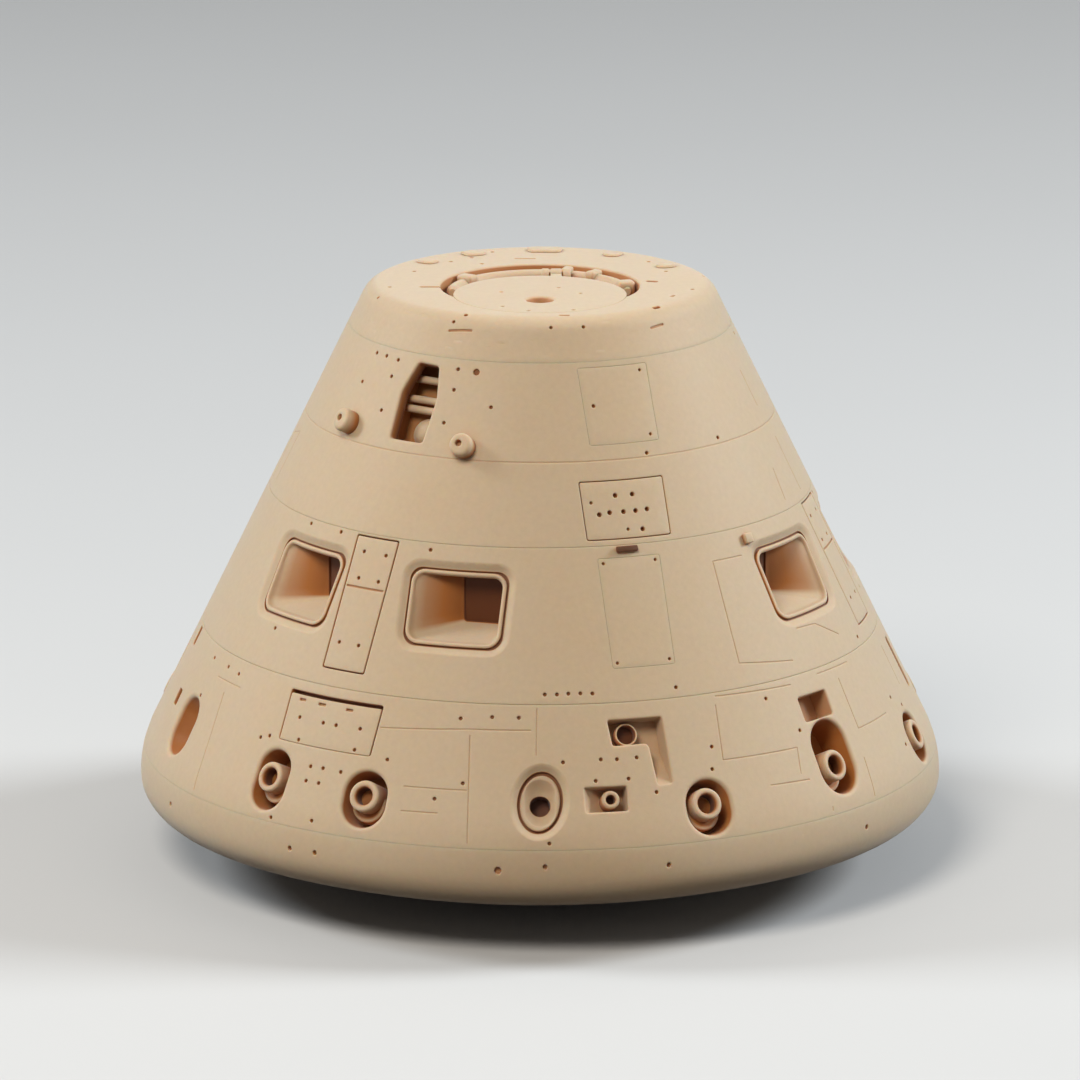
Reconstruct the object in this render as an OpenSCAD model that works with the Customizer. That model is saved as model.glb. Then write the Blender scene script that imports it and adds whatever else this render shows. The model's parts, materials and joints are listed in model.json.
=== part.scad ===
// Space capsule display model: a blunt cone of stacked printed rings with a docking hatch in its deck,
// a crew hatch in its back, window wells, thrusters in cups and panels set flush in the wall.
// Azimuth is measured round +Z from the front, -Y, towards +X.

/* [Hull] */
// Widest radius of the capsule
hull_r = 80; // [66:0.5:96]
// Height of the widest point above the foot
widest_z = 17.6; // [15:0.1:21]
// Height of the flat deck
deck_z = 117; // [112:0.5:140]
// Lean of the side wall from vertical
wall_angle = 26; // [22:0.5:28]
// Radius of the shoulder above the widest point
shoulder_r = 21.4; // [17:0.1:26]
// Radius of the rim below the widest point
rim_r = 6.6; // [5.5:0.1:8]
// Radius of the dished underside
dish_r = 220; // [185:1:264]
// Thickness of the ring walls
wall = 2.4; // [2:0.1:3]
// Thickness of the heat shield
shield_wall = 3; // [2.5:0.1:3.6]
// Rounding of the deck's edge
deck_edge_r = 4; // [3:0.1:5]
// Thickness of the deck plate
deck_t = 4.6; // [4:0.1:5.5]

/* [Seams] */
// Seam between heat shield and lower shell
shield_seam_z = 23; // [22:0.1:23.5]
// Seam between lower and middle shell
lower_seam_z = 48.6; // [48.2:0.1:49]
// Seam between middle and upper shell
upper_seam_z = 76.2; // [76:0.1:76.6]
// Seam between upper shell and top deck
deck_seam_z = 109; // [108.6:0.1:110]
// Height of the spigot that registers two rings
spigot_h = 4; // [3:0.1:5]
// Thickness of the spigot
spigot_t = 1.6; // [1.2:0.1:2]
// Clearance between a spigot and the ring round it
spigot_gap = 0.15; // [0.1:0.05:0.3]

/* [Docking hatch] */
// Distance of the lid's centre in front of the axis
lid_front = 12; // [11:0.5:13]
// Radius of the lid
lid_r = 17; // [14:0.5:17.5]
// Thickness of the lid
lid_t = 2.4; // [2:0.1:2.8]
// Width of the seat under the lid's edge
lid_seat = 2; // [1.5:0.1:2.5]
// Distance of the crescent trench's centre in front of the axis
trench_front = 4; // [3:0.5:5]
// Outer radius of the crescent trench
trench_r = 19.6; // [19:0.1:23]
// Depth of the crescent trench
trench_d = 3.2; // [2.8:0.1:3.4]
// Reach of the hinge arm behind the lid's edge
lid_arm = 4.2; // [4:0.1:4.6]
// Sideways place of the lid's hinge
lid_hinge_x = 3.2; // [-4:0.1:4]
// Length of the docking tunnel below the deck
tunnel_l = 14; // [10:0.5:18]
// Wall of the docking tunnel
tunnel_wall = 1.6; // [1.2:0.1:2]
// Thickness of the hose that lies in the trench
hose_r = 1.3; // [1:0.05:1.4]

/* [Crew hatch] */
// Height of the crew hatch's centre
door_z = 62.4; // [61:0.1:64]
// Width of the crew hatch
door_w = 21; // [17.5:0.5:24]
// Height of the crew hatch along the wall
door_h = 22; // [18:0.5:24]
// Corner radius of the crew hatch
door_corner = 4; // [3:0.1:5]
// Gap round a hatch
hatch_gap = 0.4; // [0.35:0.05:0.5]
// Radius of a hinge knuckle
knuckle_r = 1.5; // [1.3:0.05:1.6]
// Radius of a hinge pin
pin_r = 0.7; // [0.6:0.05:0.8]
// Clearance of a hinge pin in the knuckle that turns
pin_gap = 0.08; // [0.05:0.01:0.1]

/* [Windows] */
// Height of the windows' centres
window_z = 65; // [64:0.1:66]
// Width of a window's mouth
window_w = 17.4; // [15:0.1:19]
// Height of a window's mouth along the wall
window_h = 12.6; // [11:0.1:14]
// Corner radius of a window's mouth
window_corner = 1.8; // [1.2:0.1:2.4]
// Width of the frame round a window's mouth
window_frame = 1.1; // [0.9:0.1:1.4]
// Distance of the pane from the hull's axis
pane_r = 52; // [51:0.1:53]
// Width of the pane
pane_w = 8.6; // [7:0.1:10]
// Height of the pane
pane_h = 8.2; // [7:0.1:9]
// Wall behind a pane
pane_wall = 1.6; // [1.2:0.1:2]

/* [Panels] */
// Thickness of a flush panel
panel_t = 1.2; // [1:0.05:1.4]
// Gap round a flush panel
panel_gap = 0.3; // [0.2:0.05:0.4]

/* [Thrusters] */
// Depth of a thruster cup
cup_d = 6.4; // [5.5:0.1:7]
// Wall of a cup or a box behind the hull
cup_wall = 1.4; // [1.2:0.1:1.8]
// Length of a nozzle beyond the hull's surface
nozzle_proud = 0.5; // [0:0.1:1]
// Depth of a shallow pocket in the lower shell
pocket_d = 4; // [3.5:0.1:4.5]

/* [Stand] */
// Radius of the stand socket
socket_r = 3.1; // [2.6:0.05:3.7]
// Depth of the stand socket
socket_d = 10; // [8.5:0.5:12]
// Wall of the stand socket
socket_wall = 2.8; // [2.4:0.1:3.4]

/* [Hidden] */
tan_print = [0.75, 0.64, 0.48];
dark_print = [0.55, 0.40, 0.28];
fine = 96;
small = 0.05;

// Where the shoulder's arc meets the straight wall
shoulder_x = hull_r - shoulder_r;
cone_base_z = widest_z + shoulder_r * sin(wall_angle);
cone_base_r = shoulder_x + shoulder_r * cos(wall_angle);
// Centre of the dish, so that the rim's arc runs into it smoothly
rim_x = hull_r - rim_r;
dish_z = widest_z + sqrt(pow(dish_r - rim_r, 2) - pow(rim_x, 2));
rim_start = -atan2(dish_z - widest_z, rim_x);
// The top spigot stops under the deck plate
deck_spigot_h = deck_z - deck_t - deck_seam_z - 2 * spigot_gap;

function cone_r(z) = cone_base_r - (z - cone_base_z) * tan(wall_angle);
function slope_len(dz) = dz / cos(wall_angle);
function arc(cx, cz, r, a0, a1, steps) =
    [for (i = [0 : steps]) let (a = a0 + (a1 - a0) * i / steps) [cx + r * cos(a), cz + r * sin(a)]];

// Thruster cups: azimuth, height, width, height along the wall, nozzle's offset across and up, its two radii
cup_table = [
    [-43.3, 30.4, 8.4, 12.4, 0, 0.5, 3.0, 1.75],
    [-26.3, 30.1, 9.4, 11.4, 0, 0.6, 3.1, 1.75],
    [0, 31.7, 9.4, 14.2, 0, -0.6, 3.6, 2.0],
    [25.1, 28.9, 9.6, 11.2, -0.6, 0.7, 3.1, 1.9],
    [50, 33, 10.4, 15.4, -1.2, -1.6, 3.1, 1.9],
    [75.6, 28.9, 9, 10.8, 0, 0.5, 3.1, 1.8],
    [102, 30.1, 9.4, 11.4, 0, 0.6, 3.1, 1.75],
    [127, 30.1, 9.4, 11.4, 0, 0.6, 3.1, 1.75],
    [154, 30.1, 9.4, 11.4, 0, 0.6, 3.1, 1.75],
    [-154, 30.1, 9.4, 11.4, 0, 0.6, 3.1, 1.75],
    [-127, 30.1, 9.4, 11.4, 0, 0.6, 3.1, 1.75],
    [-102, 30.1, 9.4, 11.4, 0, 0.6, 3.1, 1.75]
];
// Oval nozzle of the third thruster: number, width, height along the wall, depth of its face, its offset up
oval_nozzle = [3, 8.0, 11.4, 0.9, -0.3];
// Oval scoop with no nozzle: azimuth, height, width, height along the wall
scoop = [-70, 33, 9, 12.4];
// Small thruster's pocket: azimuth, height, width, height along the wall, nozzle's offset across, its two radii
vernier = [9.7, 31.8, 8.4, 5, 0.9, 1.8, 0.9];
// Square pocket above the fifth thruster: azimuth, height, width, height along the wall
notch = [49.8, 42.4, 8.6, 5.2];
// Elbow pocket: azimuth and height of its reference point, and its outline across and up the wall
elbow_at = [15.3, 40];
elbow_outline = [[-5.4, 6.2], [5.4, 6.2], [6.2, -6.4], [3.4, -6.6], [2.4, -0.6], [1.2, 1.0], [-4.9, 1.2]];
// Vent pipe in the elbow pocket: offset across and up, its two radii
vent = [-1.6, 3.5, 2.2, 1.6];

// Flush panels: name, azimuth, height, width, height along the wall
panel_table = [
    ["window_strap_left", -35.5, 63.7, 9.6, 26.4],
    ["window_strap_right", 77.5, 63.7, 9.6, 26.4],
    ["access_panel_middle", 18.2, 64.3, 12.6, 21.6],
    ["access_panel_upper", 21.5, 101, 14.4, 15.4],
    ["fastener_panel", 19.1, 82.5, 17, 11.4],
    ["slot_panel", -35.5, 41.9, 21.8, 9.4]
];
function panels_between(low, high) = [for (p = panel_table) if (p[2] > low && p[2] < high) p];

// Windows: name, azimuth, side that its pane lies to
window_table = [
    ["window_left_outer", -52.4, 1],
    ["window_left_inner", -16.2, 1],
    ["window_right_inner", 58.2, -1],
    ["window_right_outer", 94.4, -1]
];

// Equipment bay: azimuth and height of its reference point, its outline, its depth
bay_at = [-35, 100.5];
bay_outline = [[-1.7, 7.8], [3.0, 7.6], [4.3, 1.2], [3.7, -7.8], [-4.0, -7.8], [-4.1, 1.6], [-2.6, 5.6]];
// Inside of the box behind the bay, its middle up the wall, and its depth
bay_box = [10.6, 16.4];
bay_up = 0.2;
bay_d = 7;
// Straps across the bay: height along the wall from the reference point
strap_ups = [5.4, 1.4, -0.6];
strap_r = 0.75;
strap_d = 4.6;
// Dome on the bay's floor: radius, offset across and up
dome = [3.2, 0.4, -4.9];

// Sensor knobs: name, azimuth, height
knob_table = [["sensor_knob_left", -55, 94.3], ["sensor_knob_right", -18.8, 93.5]];
knob_r = 2.3;
knob_proud = 2.9;
knob_seat = 0.8;
// Raised pads on the deck's rear rim: azimuth of each pad's middle, its sweep
pad_table = [[-128, 7], [-152, 9], [178, 14], [149, 7], [118, 6]];
pad_h = 0.9;

// Frames of reference: x across, y up the wall, z straight out of it
module on_wall(az, z)
    rotate([0, 0, az])
    translate([0, -cone_r(z), z])
    rotate([90 - wall_angle, 0, 0])
    children();

// Flat outlines
module stadium(w, h) {
    square([w, h - w], center = true);
    for (s = [-1, 1]) {
        translate([0, s * (h - w) / 2])
        circle(w / 2, $fn = 48);
    }
}

module rounded(w, h, r) {
    square([w - 2 * r, h], center = true);
    square([w, h - 2 * r], center = true);
    for (sx = [-1, 1], sy = [-1, 1]) {
        translate([sx * (w / 2 - r), sy * (h / 2 - r)])
        circle(r, $fn = 32);
    }
}

// A prism in the wall's frame, from one distance out of the surface to another
module prism(low, high) {
    translate([0, 0, low])
    linear_extrude(high - low)
    children();
}

// Right half of the hull's outline, moved inwards by t
module hull_2d(t, top) {
    side = t / cos(wall_angle);
    polygon(concat(
        [[0, dish_z - dish_r + t]],
        arc(0, dish_z, dish_r - t, -90 + 1, rim_start, 12),
        arc(rim_x, widest_z, rim_r - t, rim_start + 10, 0, 6),
        arc(shoulder_x, widest_z, shoulder_r - t, 0, wall_angle, 6),
        [[cone_r(top) - side, top], [0, top]]
    ));
}

// The wall between two depths and two heights
module wall_2d(t_out, t_in, low, high) {
    intersection() {
        difference() {
            hull_2d(t_out, deck_z + 1);
            hull_2d(t_in, deck_z + 1);
        }
        translate([0, low])
        square([hull_r + 1, high - low]);
    }
}

module wall_ring(t_out, t_in, low, high)
    rotate_extrude($fn = fine)
    wall_2d(t_out, t_in, low, high);

// Spigot that rises from a seam into the ring above, with the thick stretch that carries it
module spigot_up_2d(seam, h) {
    wall_2d(wall + spigot_gap, wall + spigot_gap + spigot_t, seam - small, seam + h);
    wall_2d(wall - small, wall + spigot_gap + spigot_t, seam - h, seam);
}

module spigot_down_2d(seam) {
    wall_2d(shield_wall + spigot_gap, shield_wall + spigot_gap + spigot_t, seam - spigot_h, seam + small);
    wall_2d(wall - small, shield_wall + spigot_gap + spigot_t, seam, seam + spigot_h / 2);
}

// Shallow seats for the flush panels of one ring
module panel_seats(low, high) {
    for (p = panels_between(low, high)) {
        intersection() {
            wall_ring(-1, panel_t, low, high);
            on_wall(p[1], p[2])
            prism(-wall - 2, 4)
            square([p[3], p[4]], center = true);
        }
    }
}

module flush_panel(p) {
    color(tan_print)
    intersection() {
        wall_ring(0, panel_t - small, shield_seam_z, deck_seam_z);
        on_wall(p[1], p[2])
        prism(-wall - 2, 4)
        square([p[3] - 2 * panel_gap, p[4] - 2 * panel_gap], center = true);
    }
}

module heat_shield() {
    color(tan_print)
    difference() {
        union() {
            rotate_extrude($fn = fine)
            intersection() {
                difference() {
                    hull_2d(0, deck_z);
                    intersection() {
                        hull_2d(shield_wall, deck_z);
                        translate([0, shield_wall])
                        square([hull_r, deck_z]);
                    }
                }
                square([hull_r + 1, shield_seam_z]);
            }
            cylinder(r = socket_r + socket_wall, h = socket_d + socket_wall, $fn = fine);
        }
        translate([0, 0, -1])
        cylinder(r = socket_r, h = socket_d + 1, $fn = fine);
    }
}

module cup_outline(c, grow) stadium(c[2] + 2 * grow, c[3] + 2 * grow);

module lower_shell() {
    color(tan_print)
    difference() {
        union() {
            rotate_extrude($fn = fine)
            union() {
                wall_2d(0, wall, shield_seam_z, lower_seam_z);
                spigot_up_2d(lower_seam_z, spigot_h);
                spigot_down_2d(shield_seam_z);
            }
            for (c = cup_table) {
                on_wall(c[0], c[1])
                prism(-cup_d - cup_wall, -1)
                cup_outline(c, cup_wall);
            }
            on_wall(scoop[0], scoop[1])
            prism(-cup_d - cup_wall, -1)
            stadium(scoop[2] + 2 * cup_wall, scoop[3] + 2 * cup_wall);
            for (q = [vernier, notch]) {
                on_wall(q[0], q[1])
                prism(-pocket_d - cup_wall, -1)
                square([q[2] + 2 * cup_wall, q[3] + 2 * cup_wall], center = true);
            }
            on_wall(elbow_at[0], elbow_at[1])
            prism(-pocket_d - cup_wall, -1)
            square([12.4 + 2 * cup_wall, 13 + 2 * cup_wall], center = true);
        }
        for (c = cup_table) {
            on_wall(c[0], c[1])
            prism(-cup_d, 4)
            cup_outline(c, 0);
        }
        on_wall(scoop[0], scoop[1])
        prism(-cup_d, 4)
        stadium(scoop[2], scoop[3]);
        for (q = [vernier, notch]) {
            on_wall(q[0], q[1])
            prism(-pocket_d, 4)
            square([q[2], q[3]], center = true);
        }
        on_wall(elbow_at[0], elbow_at[1])
        prism(-pocket_d, 4)
        polygon(elbow_outline);
        panel_seats(shield_seam_z, lower_seam_z);
        wall_ring(-1, shield_wall + spigot_gap, widest_z - spigot_h, shield_seam_z);
    }
}

// The crew hatch's hinge line, in the hatch's own frame
door_hinge_x = -door_w / 2 - 0.3;
door_hinge_out = -0.5;
door_knuckle_l = 8;
door_ear_l = 3.6;
door_ear_gap = 0.3;

module door_frame() on_wall(180, door_z) children();

module door_hinge_rod(r, from, to) {
    translate([door_hinge_x, to, door_hinge_out])
    rotate([90, 0, 0])
    cylinder(r = r, h = to - from, $fn = 48);
}

// Both ears of the crew hatch's hinge, grown by a clearance
module door_ears(r, slack) {
    for (s = [-1, 1]) {
        middle = s * (door_knuckle_l / 2 + door_ear_gap + door_ear_l / 2);
        door_hinge_rod(r, middle - door_ear_l / 2 - slack, middle + door_ear_l / 2 + slack);
    }
}

module middle_shell() {
    color(tan_print)
    difference() {
        union() {
            difference() {
                rotate_extrude($fn = fine)
                union() {
                    wall_2d(0, wall, lower_seam_z, upper_seam_z);
                    spigot_up_2d(upper_seam_z, spigot_h);
                }
                door_frame()
                prism(-wall - 3, 4)
                rounded(door_w, door_h, door_corner);
                for (w = window_table) {
                    on_wall(w[1], window_z)
                    prism(-wall - 6, 4)
                    window_body(panel_gap);
                }
                panel_seats(lower_seam_z, upper_seam_z);
                door_frame()
                door_hinge_rod(knuckle_r + hatch_gap, -door_knuckle_l / 2 - door_ear_gap,
                               door_knuckle_l / 2 + door_ear_gap);
            }
            door_frame()
            door_ears(knuckle_r, 0);
        }
        door_frame()
        door_hinge_rod(pin_r, -door_h / 2, door_h / 2);
    }
}

module crew_hatch() {
    color(tan_print)
    difference() {
        union() {
            intersection() {
                wall_ring(0, wall, lower_seam_z, upper_seam_z);
                door_frame()
                prism(-wall - 3, 4)
                rounded(door_w - 2 * hatch_gap, door_h - 2 * hatch_gap, door_corner - hatch_gap);
            }
            door_frame()
            door_hinge_rod(knuckle_r, -door_knuckle_l / 2, door_knuckle_l / 2);
            door_frame()
            translate([door_hinge_x, -door_knuckle_l / 2, door_hinge_out - knuckle_r + 0.2])
            cube([3.4, door_knuckle_l, knuckle_r]);
        }
        door_frame()
        door_hinge_rod(pin_r + pin_gap, -door_h / 2, door_h / 2);
        door_frame()
        door_ears(knuckle_r + hatch_gap, hatch_gap);
        door_frame()
        translate([0, 3, 0])
        prism(-1.4, 2)
        circle(3.4, $fn = 48);
        door_frame()
        for (s = [-1, 1]) {
            translate([handle_x, handle_y + s * handle_l / 2, -1.6])
            cylinder(r = handle_r + small, h = 3, $fn = 32);
        }
    }
}

handle_x = 5.6;
handle_y = -4;
handle_l = 6;
handle_r = 0.8;

module crew_hatch_handle() {
    color(tan_print)
    door_frame() {
        for (s = [-1, 1]) {
            translate([handle_x, handle_y + s * handle_l / 2, -1.6])
            cylinder(r = handle_r, h = 3.2, $fn = 32);
        }
        translate([handle_x, handle_y + handle_l / 2 + handle_r, 1.6])
        rotate([90, 0, 0])
        cylinder(r = handle_r, h = handle_l + 2 * handle_r, $fn = 32);
    }
}

module crew_hinge_pin() {
    reach = door_knuckle_l / 2 + door_ear_gap + door_ear_l - 0.2;
    color(dark_print)
    door_frame()
    door_hinge_rod(pin_r, -reach, reach);
}

// Outline of a window's body, which fills its hole in the wall
module window_body(grow)
    rounded(window_w + 2 * (window_frame + grow), window_h + 2 * (window_frame + grow),
            window_corner + window_frame);

// The funnel from a window's mouth to its upright pane
module window_funnel(az, side) {
    top_z = window_z + window_h / 2 * cos(wall_angle);
    hull() {
        on_wall(az, window_z)
        prism(0.4, 0.5)
        rounded(window_w, window_h, window_corner);
        rotate([0, 0, az])
        translate([side * (window_w - pane_w) / 2, -pane_r, top_z - pane_h / 2 - 0.3])
        cube([pane_w, 0.1, pane_h], center = true);
    }
}

module window_well(w) {
    color(tan_print)
    difference() {
        intersection() {
            rotate_extrude($fn = fine)
            hull_2d(0, deck_seam_z);
            on_wall(w[1], window_z)
            prism(-14, 2)
            window_body(0);
            rotate([0, 0, w[1]])
            translate([-window_w, -hull_r, 0])
            cube([2 * window_w, hull_r - pane_r + pane_wall, deck_z]);
        }
        window_funnel(w[1], w[2]);
    }
}

module upper_shell() {
    color(tan_print)
    difference() {
        rotate_extrude($fn = fine)
        union() {
            wall_2d(0, wall, upper_seam_z, deck_seam_z);
            spigot_up_2d(deck_seam_z, deck_spigot_h);
        }
        panel_seats(upper_seam_z, deck_seam_z);
        on_wall(bay_at[0], bay_at[1])
        prism(-wall - 4, 4)
        polygon(bay_outline);
        intersection() {
            wall_ring(wall, wall + 4, deck_seam_z - deck_spigot_h - small, deck_z);
            bay_block(spigot_gap);
        }
        for (k = knob_table) {
            on_wall(k[1], k[2])
            prism(-knob_seat, 3)
            circle(knob_r + small, $fn = 48);
        }
    }
}

// The bay's box, grown by a clearance
module bay_block(grow)
    on_wall(bay_at[0], bay_at[1])
    translate([0, bay_up, 0])
    prism(-bay_d - cup_wall - grow, 0)
    square([bay_box[0] + 2 * (cup_wall + grow), bay_box[1] + 2 * (cup_wall + grow)], center = true);

// Box behind the bay's opening, fastened to the inside of the wall
module equipment_bay() {
    color(dark_print)
    difference() {
        intersection() {
            rotate_extrude($fn = fine)
            hull_2d(wall + spigot_gap, deck_seam_z);
            bay_block(0);
        }
        on_wall(bay_at[0], bay_at[1])
        translate([0, bay_up, 0])
        prism(-bay_d, 1)
        square(bay_box, center = true);
    }
}

// Bands that cross the bay from side to side
module bay_straps() {
    color(tan_print)
    on_wall(bay_at[0], bay_at[1])
    for (up = strap_ups) {
        translate([-bay_box[0] / 2, up, -strap_d])
        rotate([0, 90, 0])
        cylinder(r = strap_r, h = bay_box[0], $fn = 32);
    }
}

module bay_dome() {
    color(tan_print)
    on_wall(bay_at[0], bay_at[1])
    translate([dome[1], dome[2], -bay_d])
    rotate_extrude($fn = fine)
    polygon(concat([[0, 0]], arc(0, 0, dome[0], 0, 90, 9)));
}

module sensor_knob(k) {
    color(tan_print)
    on_wall(k[1], k[2])
    difference() {
        prism(-knob_seat, knob_proud)
        circle(knob_r, $fn = 48);
        translate([-0.4, 0.2, knob_proud - 1.2])
        cylinder(r = 0.65, h = 2, $fn = 32);
    }
}

// Oval block that fills its cup but for a groove round it, with a round bore
module oval_thruster(c) {
    color(tan_print)
    on_wall(c[0], c[1])
    difference() {
        translate([0, oval_nozzle[4], 0])
        prism(-cup_d, -oval_nozzle[3])
        stadium(oval_nozzle[1], oval_nozzle[2]);
        translate([c[4], c[5], 0])
        prism(-cup_d + 1.4, 1)
        circle(c[7], $fn = 48);
    }
}

// Tube with a wider ledge under it, standing on its cup's floor
module thruster(c) {
    color(tan_print)
    on_wall(c[0], c[1])
    translate([c[4], c[5], 0])
    difference() {
        union() {
            prism(-cup_d, nozzle_proud)
            circle(c[6], $fn = 48);
            translate([0, -1.2, 0])
            prism(-cup_d, -2.4)
            circle(c[6] + 0.4, $fn = 48);
        }
        prism(-cup_d + 1.4, nozzle_proud + 1)
        circle(c[7], $fn = 48);
    }
}

module vernier_nozzle() {
    color(tan_print)
    on_wall(vernier[0], vernier[1])
    translate([vernier[4], 0, 0])
    difference() {
        prism(-pocket_d, -0.4)
        circle(vernier[5], $fn = 48);
        prism(-pocket_d + 1, 1)
        circle(vernier[6], $fn = 48);
    }
}

module vent_pipe() {
    color(tan_print)
    on_wall(elbow_at[0], elbow_at[1])
    translate([vent[0], vent[1], 0])
    difference() {
        prism(-pocket_d, -1.6)
        circle(vent[2], $fn = 48);
        prism(-pocket_d + 0.6, 1)
        circle(vent[3], $fn = 48);
    }
}

// Small lens block on the wall just under the fastener panel
module panel_lens() {
    color(dark_print)
    intersection() {
        wall_ring(-0.8, 0, lower_seam_z, upper_seam_z - 0.1);
        on_wall(17.9, upper_seam_z - 0.8)
        prism(-2, 4)
        square([4.4, 1.2], center = true);
    }
}

// Small square stub that stands on the wall beside the right window
module umbilical_stub() {
    color(tan_print)
    intersection() {
        wall_ring(-1.1, 0, lower_seam_z, upper_seam_z);
        on_wall(46.8, 73.9)
        prism(-2, 4)
        square([2, 2], center = true);
    }
}

// Deck
seat_r = lid_r - lid_seat;
lid_y = -lid_front;
lid_hinge_y = lid_y + lid_r + lid_arm;
lid_hinge_z = deck_z - 1;
lid_knuckle_w = 2.2;
lid_ear_w = 1.5;
lid_ear_gap = 0.3;
trench_y = -trench_front;

module lid_hinge_rod(r, from, to) {
    translate([lid_hinge_x + from, lid_hinge_y, lid_hinge_z])
    rotate([0, 90, 0])
    cylinder(r = r, h = to - from, $fn = 48);
}

// Outline of the top ring and deck, with its rounded edge
module deck_2d() {
    edge_r = cone_r(deck_z);
    bend = 90 - wall_angle;
    setback = deck_edge_r * tan(bend / 2);
    centre = [edge_r - setback, deck_z - deck_edge_r];
    side = [edge_r + setback * sin(wall_angle), deck_z - setback * cos(wall_angle)];
    polygon(concat(
        [[0, deck_z - deck_t], [cone_r(deck_z - deck_t) - slope_len(wall), deck_z - deck_t]],
        [[cone_r(deck_seam_z) - slope_len(wall), deck_seam_z], [cone_r(deck_seam_z), deck_seam_z]],
        [side],
        arc(centre[0], centre[1], deck_edge_r, wall_angle + 5, 90, 8),
        [[0, deck_z]]
    ));
}

module top_deck() {
    color(tan_print)
    difference() {
        union() {
            difference() {
                rotate_extrude($fn = fine)
                deck_2d();
                translate([0, trench_y, deck_z - trench_d])
                linear_extrude(trench_d + 1)
                difference() {
                    circle(trench_r, $fn = fine);
                    translate([0, lid_y - trench_y])
                    circle(lid_r + hatch_gap - small, $fn = fine);
                }
                translate([0, lid_y, deck_z - lid_t])
                cylinder(r = lid_r + hatch_gap, h = lid_t + 1, $fn = fine);
                translate([0, lid_y, deck_z - deck_t - 1])
                cylinder(r = seat_r, h = deck_t + 2, $fn = fine);
            }
            for (s = [-1, 1]) {
                middle = s * (lid_knuckle_w / 2 + lid_ear_gap + lid_ear_w / 2);
                lid_hinge_rod(knuckle_r, middle - lid_ear_w / 2, middle + lid_ear_w / 2);
                translate([lid_hinge_x + middle - lid_ear_w / 2, lid_hinge_y - knuckle_r, deck_z - trench_d - 0.5])
                cube([lid_ear_w, 2 * knuckle_r, lid_hinge_z - deck_z + trench_d + 0.5]);
            }
        }
        lid_hinge_rod(pin_r, -6, 6);
    }
}

module docking_tunnel() {
    color(tan_print)
    translate([0, lid_y, deck_z - deck_t - tunnel_l])
    difference() {
        cylinder(r = seat_r + tunnel_wall, h = tunnel_l, $fn = fine);
        translate([0, 0, -1])
        cylinder(r = seat_r, h = tunnel_l + 2, $fn = fine);
    }
}

module docking_hatch() {
    color(tan_print)
    difference() {
        union() {
            translate([0, lid_y, deck_z - lid_t])
            cylinder(r = lid_r, h = lid_t, $fn = fine);
            translate([0, lid_y, deck_z - lid_t - 1.2])
            cylinder(r = seat_r - hatch_gap, h = 1.3, $fn = fine);
            lid_hinge_rod(knuckle_r, -lid_knuckle_w / 2, lid_knuckle_w / 2);
            translate([lid_hinge_x - lid_knuckle_w / 2, lid_y + lid_r - 2, lid_hinge_z - 1])
            cube([lid_knuckle_w, lid_arm + 2, 1.7]);
        }
        lid_hinge_rod(pin_r + pin_gap, -6, 6);
        translate([0, lid_y - 5, deck_z - 1.6])
        cylinder(r = 2.7, h = 3, $fn = 48);
    }
}

module docking_hinge_pin() {
    reach = lid_knuckle_w / 2 + lid_ear_gap + lid_ear_w;
    color(dark_print)
    lid_hinge_rod(pin_r, -reach + small, reach - small);
}

// Hose that lies along the trench, with the clamps that hold it
hose_path_r = trench_r - hose_r - 0.9;
hose_start = 8;
hose_sweep = 166;
hose_z = deck_z - trench_d + hose_r;
// Clamps: angle round the trench from +X, length, width
clamp_table = [[14, 2.6, 3.4], [52, 1.8, 3.4], [72, 1.6, 3.4], [146, 2.4, 3.6]];

module deck_hose() {
    color(tan_print)
    translate([0, trench_y, 0]) {
        rotate([0, 0, hose_start])
        rotate_extrude(angle = hose_sweep, $fn = fine)
        translate([hose_path_r, hose_z])
        circle(hose_r, $fn = 32);
        for (c = clamp_table) {
            rotate([0, 0, c[0]])
            translate([hose_path_r - c[2] / 2, -c[1] / 2, deck_z - trench_d])
            cube([c[2], c[1], 2.2 * hose_r]);
        }
    }
}

module deck_pads() {
    color(tan_print)
    for (p = pad_table) {
        rotate([0, 0, p[0] - 90 - p[1] / 2])
        rotate_extrude(angle = p[1], $fn = fine)
        translate([cone_r(deck_z) - 7.5, deck_z])
        square([4, pad_h]);
    }
}

heat_shield();
lower_shell();
middle_shell();
upper_shell();
top_deck();
docking_tunnel();
docking_hatch();
docking_hinge_pin();
crew_hatch();
crew_hatch_handle();
crew_hinge_pin();
equipment_bay();
bay_straps();
bay_dome();
panel_lens();
umbilical_stub();
vernier_nozzle();
vent_pipe();
deck_hose();
deck_pads();
for (w = window_table)
    window_well(w);
for (p = panel_table)
    flush_panel(p);
for (k = knob_table)
    sensor_knob(k);
for (i = [1 : len(cup_table)])
    union() {
        if (i == oval_nozzle[0]) oval_thruster(cup_table[i - 1]);
        else thruster(cup_table[i - 1]);
    }
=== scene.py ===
import bpy
import json
import math
import numpy as np
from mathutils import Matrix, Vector
from mathutils.geometry import delaunay_2d_cdt

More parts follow.
